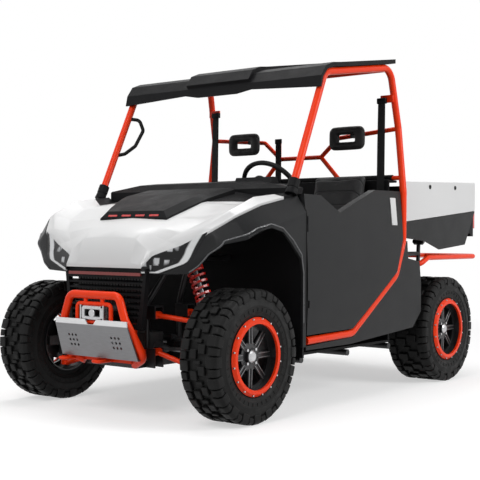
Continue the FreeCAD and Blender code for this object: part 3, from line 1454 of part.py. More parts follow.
def make_doors():
    y = door_front - cut_overrun
    outer = door_section(0, y)
    inner = door_section(-door_skin, y)
    ends = [Part.makeLine(outer.Vertexes[end].Point, inner.Vertexes[end].Point) for end in (0, -1)]
    face = Part.Face(Part.Wire(Part.__sortEdges__([outer, inner] + ends)))
    slab = face.extrude(V(0, door_length + cut_overrun * 2, 0))
    outline = [(door_front + door_length * share, cowl_height * rise) for share, rise in door_outline_shares]
    door = slab.common(side_prism(outline, half_width - door_skin * 3, half_width + cut_overrun))
    rooms = []
    for z in (hinge_low_height, hinge_high_height):
        high = z + hinge_arm_height + fit_gap
        rooms.append(rod((hinge_x, hinge_y, z), (hinge_x, hinge_y, high + hinge_pin_rise + hinge_inset),
                         hinge_pin_radius + fit_gap))
        rooms.append(box(hinge_x - hinge_pin_radius * 3, half_width * 2, door_front - cut_overrun,
                         hinge_y + hinge_pin_radius * 2.4, z - hinge_inset, high))
    door = door.cut(Part.Compound(rooms))
    keep("door_left", door)
    keep("door_right", mirrored(door))


for step in (make_wheels, make_knuckles, make_suspension, make_frame, make_towers, make_front_body, make_fascia,
             make_bumper, make_skid_plate, make_winch, make_tub, make_dash, make_steering_wheel, make_rack,
             make_cage, make_roof, make_seats, make_headrests, make_belts, make_handle, make_powertrain,
             make_underbody, make_side_panels, make_rear_bumper, make_hitch, make_bed, make_tailgate,
             make_tail_lamps, make_doors):
    step()

os.makedirs("parts", exist_ok=True)
for name, shape in parts.items():
    shape.exportStep("parts/" + name + ".step")
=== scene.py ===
import json
import math

import bmesh
import bpy
from mathutils import Matrix, Vector
from mathutils.bvhtree import BVHTree


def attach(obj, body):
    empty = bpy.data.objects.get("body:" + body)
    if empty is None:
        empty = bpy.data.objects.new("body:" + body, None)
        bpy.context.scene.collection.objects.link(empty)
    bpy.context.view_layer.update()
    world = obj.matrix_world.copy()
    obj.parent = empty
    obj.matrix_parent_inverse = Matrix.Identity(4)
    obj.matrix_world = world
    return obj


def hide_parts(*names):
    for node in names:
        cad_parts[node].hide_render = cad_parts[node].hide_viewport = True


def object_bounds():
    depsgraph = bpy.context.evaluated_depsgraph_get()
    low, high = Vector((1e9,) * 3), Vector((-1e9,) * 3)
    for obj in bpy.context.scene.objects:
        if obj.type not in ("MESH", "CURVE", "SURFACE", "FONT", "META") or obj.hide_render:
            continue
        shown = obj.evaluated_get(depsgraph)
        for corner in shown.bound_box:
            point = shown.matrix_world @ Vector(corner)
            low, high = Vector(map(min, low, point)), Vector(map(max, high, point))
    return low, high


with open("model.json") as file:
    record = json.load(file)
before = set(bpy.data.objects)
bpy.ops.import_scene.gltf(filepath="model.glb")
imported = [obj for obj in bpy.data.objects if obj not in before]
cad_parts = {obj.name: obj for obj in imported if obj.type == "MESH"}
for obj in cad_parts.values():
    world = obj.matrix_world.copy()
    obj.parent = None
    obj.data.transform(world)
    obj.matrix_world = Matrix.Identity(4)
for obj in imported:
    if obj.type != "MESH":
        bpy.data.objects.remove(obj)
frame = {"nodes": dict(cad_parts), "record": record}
solid_low, solid_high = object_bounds()

# Camera: a long lens near the height of the dashboard, off the front left corner,
# as the photograph was taken.
camera_place = Vector((3.859, -5.154, 0.932))
camera_aim = Vector((-0.008, -0.231, 0.908))
camera_lens = 77.6
camera_roll = math.radians(0.23)
sensor_width = 36.0

camera_data = bpy.data.cameras.new("camera")
camera_data.sensor_width = sensor_width
camera_data.lens = camera_lens
camera = bpy.data.objects.new("camera", camera_data)
camera.location = camera_place
look = (camera_aim - camera_place).to_track_quat("-Z", "Y").to_matrix()
camera.rotation_euler = (look @ Matrix.Rotation(camera_roll, 3, "Z")).to_euler()
bpy.context.scene.collection.objects.link(camera)
bpy.context.scene.camera = camera
bpy.context.scene.view_settings.view_transform = "Standard"


# Frame: box rails, spring towers, belly plate and receiver, welded steel under black
# powder coat. A Wire stands for one socket, so that shading sums read as arithmetic.
class Wire:
    def __init__(self, material, socket=None):
        self.material = material
        self.socket = socket

    def node(self, kind, settings, values, output=0):
        made = self.material.node_tree.nodes.new(kind)
        for name, value in settings.items():
            setattr(made, name, value)
        for name, value in values.items():
            if isinstance(value, Wire):
                self.material.node_tree.links.new(value.socket, made.inputs[name])
            else:
                made.inputs[name].default_value = value
        return Wire(self.material, made.outputs[output])

    def maths(self, operation, first, second=0.0):
        return self.node("ShaderNodeMath", {"operation": operation}, {0: first, 1: second})

    def __add__(self, other):
        return self.maths("ADD", self, other)

    def __radd__(self, other):
        return self.maths("ADD", other, self)

    def __sub__(self, other):
        return self.maths("SUBTRACT", self, other)

    def __rsub__(self, other):
        return self.maths("SUBTRACT", other, self)

    def __mul__(self, other):
        return self.maths("MULTIPLY", self, other)

    def __rmul__(self, other):
        return self.maths("MULTIPLY", other, self)

    def place(self):
        return self.node("ShaderNodeTexCoord", {}, {}, "Object")

    def along(self, axis):
        return self.node("ShaderNodeSeparateXYZ", {}, {0: self.place()}, axis)

    def noise(self, scale, detail=3.0, roughness=0.5):
        values = {"Vector": self.place(), "Scale": scale, "Detail": detail, "Roughness": roughness}
        return self.node("ShaderNodeTexNoise", {}, values, "Fac")

    def grain(self, scale):
        return self.node("ShaderNodeTexVoronoi", {}, {"Vector": self.place(), "Scale": scale}, "Distance")

    def spread(self, low, high, low_out=0.0, high_out=1.0):
        """Carries a value between two limits over to two others, and stops it there."""
        values = {"Value": self, "From Min": low, "From Max": high, "To Min": low_out, "To Max": high_out}
        return self.node("ShaderNodeMapRange", {"clamp": True}, values)

    def tint(self, dark, light):
        """A colour between two, by this value."""
        values = {"Factor": self, 6: (*dark, 1.0), 7: (*light, 1.0)}
        return self.node("ShaderNodeMix", {"data_type": "RGBA"}, values, 2)

    def bump(self, depth, strength=1.0):
        values = {"Height": self, "Strength": strength, "Distance": depth}
        return self.node("ShaderNodeBump", {}, values, "Normal")


def new_finish(name, **values):
    """A finish and its surface shader. Values are the shader's own sockets, by name."""
    material = bpy.data.materials.new(name)
    material.use_nodes = True
    surface = material.node_tree.nodes["Principled BSDF"]
    for key, value in values.items():
        surface.inputs[key.replace("_", " ")].default_value = value
    return Wire(material), surface


def feed(wire, surface, socket):
    wire.material.node_tree.links.new(wire.socket, surface.inputs[socket])


def dress(finish, *nodes):
    """Gives solids of the frame a finish."""
    for name in nodes:
        mesh = frame["nodes"][name].data
        mesh.materials.clear()
        mesh.materials.append(finish.material)


black_metal, surface = new_finish("black_metal", Metallic=0.2)
feed(black_metal.noise(6.0, 4.0).tint((0.008, 0.008, 0.009), (0.018, 0.018, 0.020)), surface, "Base Color")
feed(black_metal.noise(18.0, 3.0).spread(0.3, 0.7, 0.34, 0.50), surface, "Roughness")
feed(black_metal.noise(340.0, 3.0).bump(0.0003), surface, "Normal")
dress(black_metal, "frame", "front_towers", "rear_towers", "belly_plate", "hitch_receiver", "rack_case")

# Suspension and drive: cast knuckles and cases with the rough skin of a sand casting,
# orange arms, grey damper bodies in red springs, turned shafts under rubber boots.
cast_grey, surface = new_finish("cast_grey", Metallic=0.55)
feed(cast_grey.noise(8.0, 4.0).tint((0.035, 0.035, 0.037), (0.075, 0.075, 0.075)), surface, "Base Color")
feed(cast_grey.noise(30.0, 3.0).spread(0.3, 0.7, 0.45, 0.65), surface, "Roughness")
feed(cast_grey.noise(240.0, 4.0).bump(0.0008), surface, "Normal")
dress(cast_grey, "knuckle_left", "knuckle_right", "rear_knuckles", "powertrain")

turned_steel, surface = new_finish("turned_steel", Metallic=0.85)
feed(turned_steel.noise(20.0, 4.0).tint((0.12, 0.12, 0.125), (0.26, 0.26, 0.27)), surface, "Base Color")
feed(turned_steel.noise(60.0, 3.0).spread(0.3, 0.7, 0.28, 0.42), surface, "Roughness")
dress(turned_steel, "dampers", "steering_rack", "axle_shafts", "exhaust")

spring_red, surface = new_finish("spring_red", Coat_Weight=0.4, Coat_Roughness=0.1)
feed(spring_red.noise(12.0, 3.0).tint((0.62, 0.010, 0.005), (0.76, 0.020, 0.009)), surface, "Base Color")
feed(spring_red.noise(40.0, 2.0).spread(0.3, 0.7, 0.28, 0.38), surface, "Roughness")
dress(spring_red, "coil_springs")

orange_coat, surface = new_finish("orange_coat", Coat_Weight=0.06, Coat_Roughness=0.15,
                                  Specular_IOR_Level=0.2)
feed(orange_coat.noise(5.0, 3.0).tint((0.94, 0.036, 0.002), (1.0, 0.056, 0.004)), surface, "Base Color")
feed(orange_coat.noise(14.0, 3.0).spread(0.3, 0.7, 0.30, 0.40), surface, "Roughness")
feed(orange_coat.noise(260.0, 3.0).bump(0.0003), surface, "Normal")
dress(orange_coat, "front_arms", "rear_arms", "front_bumper", "rear_bumper", "cage")

# Tyres: moulded rubber, nominally 27 inches over blocks that wrap round the shoulder, the
# rear pair wider. Outlines run from the edge of the tread inwards and up from the axle.
tyre_radius = 0.336
track_half = 0.790
front_axle = -1.095
rear_axle = 0.955
front_width = 0.235
rear_width = 0.280
tyre_steps = 90
tyre_wall = [(-0.024, 0.178), (-0.020, 0.199), (-0.015, 0.203), (-0.012, 0.214), (-0.006, 0.222),
             (-0.004, 0.246), (-0.001, 0.249), (-0.001, 0.256), (-0.003, 0.259), (-0.004, 0.282),
             (-0.012, 0.300), (-0.030, 0.314), (-0.060, 0.319)]
block_rows = 20
block_bevel = 0.003
block_foot = 0.312
block_top = 0.3355
long_block = [(-0.062, block_foot), (-0.062, block_top), (-0.018, block_top), (-0.001, 0.322),
              (-0.001, 0.284), (-0.010, 0.280)]
long_length = 0.052
short_block = [(-0.050, block_foot), (-0.050, block_top), (-0.020, block_top), (-0.003, 0.322),
               (-0.003, 0.300), (-0.012, 0.296)]
short_length = 0.036
inner_block = (0.006, 0.072)
inner_length = 0.044
inner_start = 0.42
centre_block = [(-0.020, block_foot), (-0.020, 0.3345), (0.020, 0.3345), (0.020, block_foot)]
centre_length = 0.018
centre_start = 0.04
far_side_start = 0.25
wall_rib = [(-0.008, 0.224), (-0.0025, 0.226), (-0.0025, 0.243), (-0.008, 0.245)]
wall_rib_width = 0.004
wall_rib_bevel = 0.0008

rubber, surface = new_finish("rubber", Specular_IOR_Level=0.13)
feed(rubber.noise(9.0, 5.0).tint((0.005, 0.005, 0.005), (0.013, 0.013, 0.013)), surface, "Base Color")
feed(rubber.noise(26.0, 3.0).spread(0.3, 0.7, 0.42, 0.62), surface, "Roughness")
feed(rubber.noise(180.0, 4.0).bump(0.0006), surface, "Normal")

body_of = {}
for body, members in frame["record"]["behaviour"]["bodies"].items():
    for member in members:
        body_of[member] = body


def finish_piece(bm, name, finish, body, sharp=32.0):
    """Makes the mesh an object that rides on a body, smooth between its sharp edges."""
    bmesh.ops.recalc_face_normals(bm, faces=bm.faces)
    for face in bm.faces:
        face.smooth = True
    for edge in bm.edges:
        edge.smooth = len(edge.link_faces) == 2 and edge.calc_face_angle() < math.radians(sharp)
    mesh = bpy.data.meshes.new(name)
    bm.to_mesh(mesh)
    bm.free()
    mesh.materials.append(finish.material)
    piece = bpy.data.objects.new(name, mesh)
    bpy.context.scene.collection.objects.link(piece)
    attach(piece, body)
    return piece


def ease_edges(bm, width, steps):
    bmesh.ops.bevel(bm, geom=bm.edges, offset=width, segments=steps, profile=0.5, affect="EDGES",
                    material=-1)


def draw_out(bm, corners, reach):
    """Closes a face over the corners and draws it out into a block."""
    face = bm.faces.new([bm.verts.new(corner) for corner in corners])
    grown = bmesh.ops.extrude_face_region(bm, geom=[face])["geom"]
    far_end = [part for part in grown if isinstance(part, bmesh.types.BMVert)]
    bmesh.ops.translate(bm, verts=far_end, vec=reach)
    bmesh.ops.recalc_face_normals(bm, faces=bm.faces)


def as_mesh(bm):
    mesh = bpy.data.meshes.new("pattern")
    bm.to_mesh(mesh)
    bm.free()
    return mesh


def moulded_block(outline, length, bevel):
    """A block with eased edges, from an outline across X and Z, its length along Y."""
    bm = bmesh.new()
    draw_out(bm, [(x, -length / 2, z) for x, z in outline], (0, length, 0))
    ease_edges(bm, bevel, 1)
    return as_mesh(bm)


def add_round(bm, block, count, start):
    """Sets copies of a block round the axle."""
    for number in range(count):
        first = len(bm.verts)
        bm.from_mesh(block)
        bm.verts.ensure_lookup_table()
        turn = Matrix.Rotation(2 * math.pi * (number + start) / count, 3, "X")
        bmesh.ops.rotate(bm, verts=bm.verts[first:], cent=(0, 0, 0), matrix=turn)


def on_axle(bm, side, y, width):
    """Moves a mesh made round the origin to its wheel, mirrored on the right."""
    bmesh.ops.scale(bm, verts=bm.verts, vec=(side, 1, 1))
    bmesh.ops.translate(bm, verts=bm.verts, vec=(side * (track_half - width / 2), y, tyre_radius))


def tyre_piece(place, side, y, width):
    half = width / 2
    bm = bmesh.new()
    wall = [(half + out, radius) for out, radius in tyre_wall]
    line = [bm.verts.new((x, 0, z)) for x, z in wall + [(-x, z) for x, z in reversed(wall)]]
    edges = [bm.edges.new(pair) for pair in zip(line, line[1:])]
    bmesh.ops.spin(bm, geom=line + edges, cent=(0, 0, 0), axis=(1, 0, 0), angle=2 * math.pi,
                   steps=tyre_steps, use_merge=True)
    near, far = inner_block[0], half - inner_block[1]
    inner = [(near, block_foot), (near, block_top), (far, block_top), (far, block_foot)]
    for way in (1, -1):
        start = far_side_start * (way < 0)
        long_shape, short_shape, rib_shape = [[(way * (half + out), z) for out, z in outline]
                                              for outline in (long_block, short_block, wall_rib)]
        inner_shape = [(way * x, z) for x, z in inner]
        for shape, length, shift in ((long_shape, long_length, 0.0), (short_shape, short_length, 0.5),
                                     (inner_shape, inner_length, inner_start)):
            add_round(bm, moulded_block(shape, length, block_bevel), block_rows, start + shift)
        add_round(bm, moulded_block(rib_shape, wall_rib_width, wall_rib_bevel), block_rows * 2, 0.0)
    add_round(bm, moulded_block(centre_block, centre_length, block_bevel), block_rows, centre_start)
    on_axle(bm, side, y, width)
    piece = finish_piece(bm, "tyre_tread_" + place, rubber, "wheel_" + place)
    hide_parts("tyre_" + place)


for name, side in (("left", 1), ("right", -1)):
    tyre_piece("front_" + name, side, front_axle, front_width)
    tyre_piece("rear_" + name, side, rear_axle, rear_width)

# Rims: satin black castings behind an orange bead ring that is held by a circle of
# screws. Each spoke is split by two ribs, and four nuts stand round a bright centre cap.
plate_setback = 0.054
spoke_number = 8
rib_start = 0.060
rib_end = 0.160
rib_outline = [(-0.004, rib_start), (0.007, rib_start + 0.004), (0.004, rib_end), (-0.004, rib_end)]
rib_width = 0.005
rib_bevel = 0.001
rib_spread = 0.011
ring_screws = 16
screw_circle = 0.1905
screw_form = (0.0052, 0.0044, 0.008, 12)
screw_setback = 0.009
nut_number = 4
nut_circle = 0.047
nut_form = (0.0095, 0.0080, 0.016, 6)
nut_setback = 0.002
cap_form = (0.030, 0.022, 0.006, 32)
cap_rise = 0.0158

rim_black, surface = new_finish("rim_black", Metallic=0.35, Coat_Weight=0.3, Coat_Roughness=0.15)
feed(rim_black.noise(12.0, 3.0).tint((0.012, 0.012, 0.013), (0.026, 0.026, 0.028)), surface, "Base Color")
feed(rim_black.noise(30.0, 3.0).spread(0.3, 0.7, 0.28, 0.42), surface, "Roughness")

satin_alloy, surface = new_finish("satin_alloy", Metallic=0.7)
feed(satin_alloy.noise(50.0, 3.0).tint((0.16, 0.16, 0.165), (0.26, 0.26, 0.265)), surface, "Base Color")
feed(satin_alloy.noise(70.0, 3.0).spread(0.3, 0.7, 0.30, 0.44), surface, "Roughness")

bright_alloy, surface = new_finish("bright_alloy", Metallic=0.9)
feed(bright_alloy.noise(40.0, 3.0).tint((0.42, 0.42, 0.43), (0.62, 0.62, 0.63)), surface, "Base Color")
feed(bright_alloy.noise(80.0, 3.0).spread(0.3, 0.7, 0.24, 0.38), surface, "Roughness")


def stud(form, place):
    """A short pin that rises along X from a place. Its form: both radii, length and sides."""
    foot_radius, head_radius, length, sides = form
    bm = bmesh.new()
    bmesh.ops.create_cone(bm, cap_ends=True, segments=sides, radius1=foot_radius, radius2=head_radius,
                          depth=length)
    bmesh.ops.translate(bm, verts=bm.verts, vec=(0, 0, length / 2))
    bmesh.ops.rotate(bm, verts=bm.verts, cent=(0, 0, 0), matrix=Matrix.Rotation(math.radians(90), 3, "Y"))
    bmesh.ops.translate(bm, verts=bm.verts, vec=place)
    return as_mesh(bm)


def wheel_fittings(place, side, y, width):
    half = width / 2
    plate = half - plate_setback
    rib = moulded_block([(plate + out, z) for out, z in rib_outline], rib_width, rib_bevel)
    pair = bmesh.new()
    for shift in (rib_spread, -2 * rib_spread):
        bmesh.ops.translate(pair, verts=pair.verts, vec=(0, shift, 0))
        pair.from_mesh(rib)
    bmesh.ops.translate(pair, verts=pair.verts, vec=(0, rib_spread, 0))
    ribs = bmesh.new()
    add_round(ribs, as_mesh(pair), spoke_number, 0.0)
    on_axle(ribs, side, y, width)
    piece = finish_piece(ribs, "spoke_ribs_" + place, satin_alloy, "wheel_" + place)

    screws = bmesh.new()
    add_round(screws, stud(screw_form, (half - screw_setback, 0, screw_circle)), ring_screws, 0.5)
    add_round(screws, stud(nut_form, (plate - nut_setback, 0, nut_circle)), nut_number, 0.5)
    add_round(screws, stud(cap_form, (plate + cap_rise, 0, 0)), 1, 0.0)
    on_axle(screws, side, y, width)
    piece = finish_piece(screws, "wheel_screws_" + place, bright_alloy, "wheel_" + place)


for name, side in (("left", 1), ("right", -1)):
    wheel_fittings("front_" + name, side, front_axle, front_width)
    wheel_fittings("rear_" + name, side, rear_axle, rear_width)
    for end in ("front_", "rear_"):
        dress(rim_black, "rim_" + end + name)
        dress(orange_coat, "bead_ring_" + end + name)

# Body panels: the white hood and bed sides are moulded and painted under clear lacquer,
# fenders, doors and flanks are dark grey in the mass. Their edges are rounded over.
panel_round = 0.004
hood_round = 0.005
insert_round = 0.003
hood_sharp = 48.0
fender_sharp = 36.0
merge_reach = 0.00002

white_paint, surface = new_finish("white_paint", Roughness=0.36, Coat_Weight=0.3, Coat_Roughness=0.1)
feed(white_paint.noise(3.0, 2.0).tint((0.70, 0.70, 0.705), (0.75, 0.75, 0.75)), surface, "Base Color")
feed(white_paint.noise(420.0, 2.0).bump(0.00010), surface, "Normal")

panel_grey, surface = new_finish("panel_grey", Specular_IOR_Level=0.15)
shade = panel_grey.noise(2.2, 4.0).tint((0.009, 0.0092, 0.010), (0.016, 0.0165, 0.0175))
feed(shade, surface, "Base Color")
feed(panel_grey.noise(9.0, 3.0).spread(0.3, 0.7, 0.33, 0.43), surface, "Roughness")
feed(panel_grey.grain(900.0).bump(0.0002), surface, "Normal")

black_plastic, surface = new_finish("black_plastic", Specular_IOR_Level=0.09)
shade = black_plastic.noise(3.0, 3.0).tint((0.0045, 0.0045, 0.005), (0.008, 0.008, 0.009))
feed(shade, surface, "Base Color")
feed(black_plastic.noise(11.0, 3.0).spread(0.3, 0.7, 0.42, 0.55), surface, "Roughness")
feed(black_plastic.grain(620.0).bump(0.0003), surface, "Normal")


def rounded(node, finish, width, sharp=24.0):
    """A moulded panel: the solid with its edges rounded over, in that solid's place."""
    bm = bmesh.new()
    bm.from_mesh(frame["nodes"][node].data)
    bmesh.ops.remove_doubles(bm, verts=bm.verts, dist=merge_reach)
    bmesh.ops.dissolve_limit(bm, angle_limit=math.radians(1.0), verts=bm.verts, edges=bm.edges)
    piece = finish_piece(bm, node + "_skin", finish, body_of[node], sharp)
    soften = piece.modifiers.new("edges", "BEVEL")
    soften.width = width
    soften.segments = 2
    soften.limit_method = "ANGLE"
    soften.angle_limit = math.radians(sharp)
    soften.harden_normals = True
    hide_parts(node)


for name in ("side_panels", "bed_side_trim", "door_left", "door_right"):
    rounded(name, panel_grey, panel_round)
rounded("front_fenders", panel_grey, panel_round, fender_sharp)
rounded("hood", white_paint, hood_round, hood_sharp)
rounded("bed_side_panels", white_paint, panel_round)
rounded("hood_insert", black_plastic, insert_round)

# Door handles: a pale moulded grip on the latch at the rear edge of each door, leaning in
# with the panel. Corners are along Y and up Z, depths across X at the low end.
handle_low = (0.2225, 1.000)
handle_high = (0.2825, 1.163)
handle_back = 0.7760
handle_front = 0.7850
handle_lean = 0.095
handle_bevel = 0.003


def side_block(outline, start, end, bevel):
    """A block with rounded edges, from an outline across Y and Z, between two places on X."""
    bm = bmesh.new()
    draw_out(bm, [(start, y, z) for y, z in outline], (end - start, 0, 0))
    ease_edges(bm, bevel, 3)
    return bm


for word, side in (("left", 1), ("right", -1)):
    (low_y, low_z), (high_y, high_z) = handle_low, handle_high
    outline = [(low_y, low_z), (high_y, low_z), (high_y, high_z), (low_y, high_z)]
    bm = side_block(outline, handle_back, handle_front, handle_bevel)
    for vertex in bm.verts:
        vertex.co.x = side * (vertex.co.x - (vertex.co.z - low_z) * handle_lean)
    piece = finish_piece(bm, "door_handle_" + word, white_paint, "door_" + word)

# Arch lips and door seals: the front arches end in a rolled edge, painted a lighter grey than
# the fender as a painted highlight along the arch, and a thin rubber bead runs down the slit
# between fender and door. Both follow the side of the body.
lip_line = ((-1.300, 0.752), (-1.268, 0.842), (-1.229, 0.906), (-1.154, 0.936), (-1.074, 0.970),
            (-0.984, 0.992), (-0.894, 0.974), (-0.802, 0.912), (-0.727, 0.838), (-0.708, 0.740),
            (-0.706, 0.470))
lip_radius = 0.0045
seal_line = ((-0.6900, 0.480), (-0.6900, 1.120))
seal_radius = 0.0035
seal_shift = 0.0070
bead_step = 0.010
bead_sink = 0.3
beside_body = 1.2
inside_body = 0.4

# The lip's grey stands for the light caught along the rolled edge: a painted highlight.
lip_painted_highlight, surface = new_finish("lip_painted_highlight", Specular_IOR_Level=0.6)
feed(lip_painted_highlight.noise(9.0, 3.0).tint((0.070, 0.072, 0.076), (0.100, 0.102, 0.106)), surface, "Base Color")
feed(lip_painted_highlight.noise(20.0, 3.0).spread(0.3, 0.7, 0.24, 0.34), surface, "Roughness")

flank = bmesh.new()
for name in ("front_fenders", "side_panels", "door_left", "door_right"):
    flank.from_mesh(frame["nodes"][name].data)
flank_skin = BVHTree.FromBMesh(flank)
flank.free()


def bead(name, line, side, radius, shift, finish):
    """A round bead along a line of (y, z) places on the side of the body, then shifted along Y."""
    found = []
    for (y0, z0), (y1, z1) in zip(line, line[1:]):
        steps = max(1, round(math.hypot(y1 - y0, z1 - z0) / bead_step))
        for number in range(steps):
            share = number / steps
            start = Vector((side * beside_body, y0 + (y1 - y0) * share, z0 + (z1 - z0) * share))
            place = flank_skin.ray_cast(start, Vector((-side, 0, 0)))[0]
            if place and abs(place.x) > inside_body:
                place.x = side * min(abs(place.x) + radius * bead_sink, solid_high[0] - radius)
                place.y += shift
                found.append(place)
    curve = bpy.data.curves.new(name, "CURVE")
    curve.dimensions = "3D"
    curve.bevel_depth = radius
    curve.bevel_resolution = 1
    curve.resolution_u = 2
    run = curve.splines.new("NURBS")
    run.points.add(len(found) - 1)
    for point, place in zip(run.points, found):
        point.co = (*place, 1.0)
    run.order_u = 4
    run.use_endpoint_u = True
    holder = bpy.data.objects.new(name + "_line", curve)
    bm = bmesh.new()
    bm.from_mesh(bpy.data.meshes.new_from_object(holder))
    bpy.data.objects.remove(holder)
    piece = finish_piece(bm, name, finish, "chassis", 60.0)


for word, side in (("left", 1), ("right", -1)):
    bead("arch_lip_" + word, lip_line, side, lip_radius, 0.0, lip_painted_highlight)
    bead("door_seal_" + word, seal_line, side, seal_radius, seal_shift, rubber)

# Air scoop: four short red reflectors, clipped in under the lip of the black insert and
# leaning back with it.
scoop_lip = ((-1.1697, 1.0260), (-1.1503, 1.0640))
reflector_places = (-0.153, -0.052, 0.049, 0.150)
reflector_half = (0.033, 0.0055, 0.002)
reflector_shift = (-0.004, -0.006)
reflector_bevel = 0.001

lamp_red, surface = new_finish("lamp_red", Roughness=0.18, Coat_Weight=1.0, Coat_Roughness=0.04)
feed(lamp_red.noise(60.0, 2.0).tint((0.55, 0.004, 0.003), (0.80, 0.010, 0.008)), surface, "Base Color")


def add_block(bm, low, high):
    """Adds a block between two corners."""
    made = bmesh.ops.create_cube(bm, size=1.0)["verts"]
    bmesh.ops.scale(bm, verts=made, vec=[b - a for a, b in zip(low, high)])
    bmesh.ops.translate(bm, verts=made, vec=[(a + b) / 2 for a, b in zip(low, high)])
    return made


def around(middle, half):
    """The lowest and the highest corner of a block, from its middle and half its size."""
    pairs = list(zip(middle, half))
    return [at - reach for at, reach in pairs], [at + reach for at, reach in pairs]


bm = bmesh.new()
(low_y, low_z), (high_y, high_z) = scoop_lip
lean = math.atan2(high_z - low_z, high_y - low_y)
middle = ((low_y + high_y) / 2 + reflector_shift[0], (low_z + high_z) / 2 + reflector_shift[1])
for x in reflector_places:
    made = add_block(bm, *around((0, 0, 0), reflector_half))
    bmesh.ops.rotate(bm, verts=made, cent=(0, 0, 0), matrix=Matrix.Rotation(lean, 3, "X"))
    bmesh.ops.translate(bm, verts=made, vec=(x, *middle))
ease_edges(bm, reflector_bevel, 1)
piece = finish_piece(bm, "scoop_reflectors", lamp_red, "chassis")

# Headlamps: a clear lens over a dark housing in a black rim, with a white light pipe along
# its lower and rear edge and faceted reflectors inside. The tail lamps are plain red.
lamp_line = ((-1.3992, 0.739), (-1.3338, 0.739), (-1.3022, 0.790), (-1.2853, 0.838), (-1.2497, 0.946))
rim_line = 0.004
pipe_width = 0.011
facet_scale = 20.0
facet_edge = (0.018, 0.026)
housing_black = (0.004, 0.004, 0.005)
reflector_silver = (0.60, 0.61, 0.63)
pipe_white = (0.80, 0.81, 0.82, 1.0)
lens_round = 0.002
tail_round = 0.003

lamp_glass, surface = new_finish("lamp_glass", Roughness=0.12, Specular_IOR_Level=0.25)
lamp_y, lamp_z = lamp_glass.along(1), lamp_glass.along(2)
inset = None
for (y0, z0), (y1, z1) in zip(lamp_line, lamp_line[1:]):
    run = math.hypot(y1 - y0, z1 - z0)
    distance = (lamp_z - z0) * ((y1 - y0) / run) - (lamp_y - y0) * ((z1 - z0) / run)
    inset = distance if inset is None else lamp_glass.maths("MINIMUM", inset, distance)
pipe = inset.spread(pipe_width, pipe_width + 0.002, 1.0, 0.0) * inset.spread(rim_line, rim_line + 0.001)
cells = lamp_glass.node("ShaderNodeTexVoronoi", {"feature": "F1", "distance": "CHEBYCHEV"},
                        {"Vector": lamp_glass.place(), "Scale": facet_scale}, "Distance")
facets = cells.spread(0.24, 0.34, 1.0, 0.0)
inside = (facets * inset.spread(*facet_edge)).tint(housing_black, reflector_silver)
lit = lamp_glass.node("ShaderNodeMix", {"data_type": "RGBA"}, {"Factor": pipe, 6: inside, 7: pipe_white}, 2)
feed(lit, surface, "Base Color")
feed((facets * 0.5 + pipe).bump(0.003), surface, "Normal")
rounded("headlamps", lamp_glass, lens_round)
rounded("tail_lamps", lamp_red, tail_round)

# Nose: a black slatted grille under a dull red strip, with the radiator's finned core behind
# it, and the tub, floor and rear panel of the cab, all bolted to the frame.
slat_round = 0.002
tub_round = 0.004
radiator_low = (-0.235, -1.338, 0.482)
radiator_high = (0.235, -1.312, 0.735)
radiator_fins = 22
fin_half = (0.0015, 0.003)
fin_proud = 0.002
fin_margin = 0.010

trim_red, surface = new_finish("trim_red", Roughness=0.35, Coat_Weight=0.3, Coat_Roughness=0.2)
feed(trim_red.noise(30.0, 3.0).tint((0.16, 0.010, 0.008), (0.24, 0.018, 0.014)), surface, "Base Color")
dress(trim_red, "grille_trim")
rounded("front_fascia", black_plastic, slat_round)

bm = bmesh.new()
add_block(bm, radiator_low, radiator_high)
face_y = radiator_low[1] - fin_proud
for number in range(1, radiator_fins):
    x = radiator_low[0] + (radiator_high[0] - radiator_low[0]) * number / radiator_fins
    add_block(bm, (x - fin_half[0], face_y - fin_half[1], radiator_low[2] + fin_margin),
              (x + fin_half[0], face_y + fin_half[1], radiator_high[2] - fin_margin))
piece = finish_piece(bm, "radiator", black_metal, "chassis")
rounded("cab_tub", black_plastic, tub_round)
rounded("cab_rear_panel", black_plastic, tub_round)

# Skid plate and winch: drilled rolled aluminium sheet with its top edge folded over, a painted
# highlight along the fold, and a black drum casing behind a fairlead of four bright rollers.
sheet_round = 0.001
fold_highlight_heights = (0.474, 0.478)
rolling = (4.0, 60.0, 60.0)
winch_height = 0.536
fairlead_face = -1.4585
roller_radius = 0.011
roller_half = 0.066
roller_rise = 0.027
cheek_half = (0.004, 0.015, 0.040)
cheek_place = (roller_half * 1.24, fairlead_face + 0.006)
hook_radius = 0.021
hook_length = 0.012
hook_place = (0, fairlead_face - 0.004, winch_height - 0.002)
fairlead_bevel = 0.0012

bare_alloy, surface = new_finish("bare_alloy", Metallic=0.75)
drawn = bare_alloy.node("ShaderNodeMapping", {}, {"Vector": bare_alloy.place(), "Scale": rolling})
rolled = bare_alloy.node("ShaderNodeTexNoise", {}, {"Vector": drawn, "Scale": 6.0, "Detail": 4.0}, "Fac")
# Above the fold heights the sheet's colour is a painted highlight, far lighter than the rest of the sheet.
shade = bare_alloy.node("ShaderNodeMix", {"data_type": "RGBA"}, {
    "Factor": bare_alloy.along(2).spread(*fold_highlight_heights),
    6: rolled.tint((0.15, 0.15, 0.155), (0.28, 0.28, 0.29)),
    7: rolled.tint((0.62, 0.62, 0.63), (0.80, 0.80, 0.81))}, 2)
feed(shade, surface, "Base Color")
feed(rolled.spread(0.3, 0.7, 0.34, 0.52), surface, "Roughness")
rounded("skid_plate", bare_alloy, sheet_round)
dress(black_metal, "winch")

axis_turn = {"X": Matrix.Rotation(math.radians(90), 3, "Y"), "Y": Matrix.Rotation(math.radians(90), 3, "X"),
             "Z": Matrix.Identity(3)}


def add_rod(bm, radius, length, axis, place, sides):
    """Adds a round bar along an axis, its middle at a place."""
    made = bmesh.ops.create_cone(bm, cap_ends=True, segments=sides, radius1=radius, radius2=radius,
                                 depth=length)["verts"]
    bmesh.ops.rotate(bm, verts=made, cent=(0, 0, 0), matrix=axis_turn[axis])
    bmesh.ops.translate(bm, verts=made, vec=place)


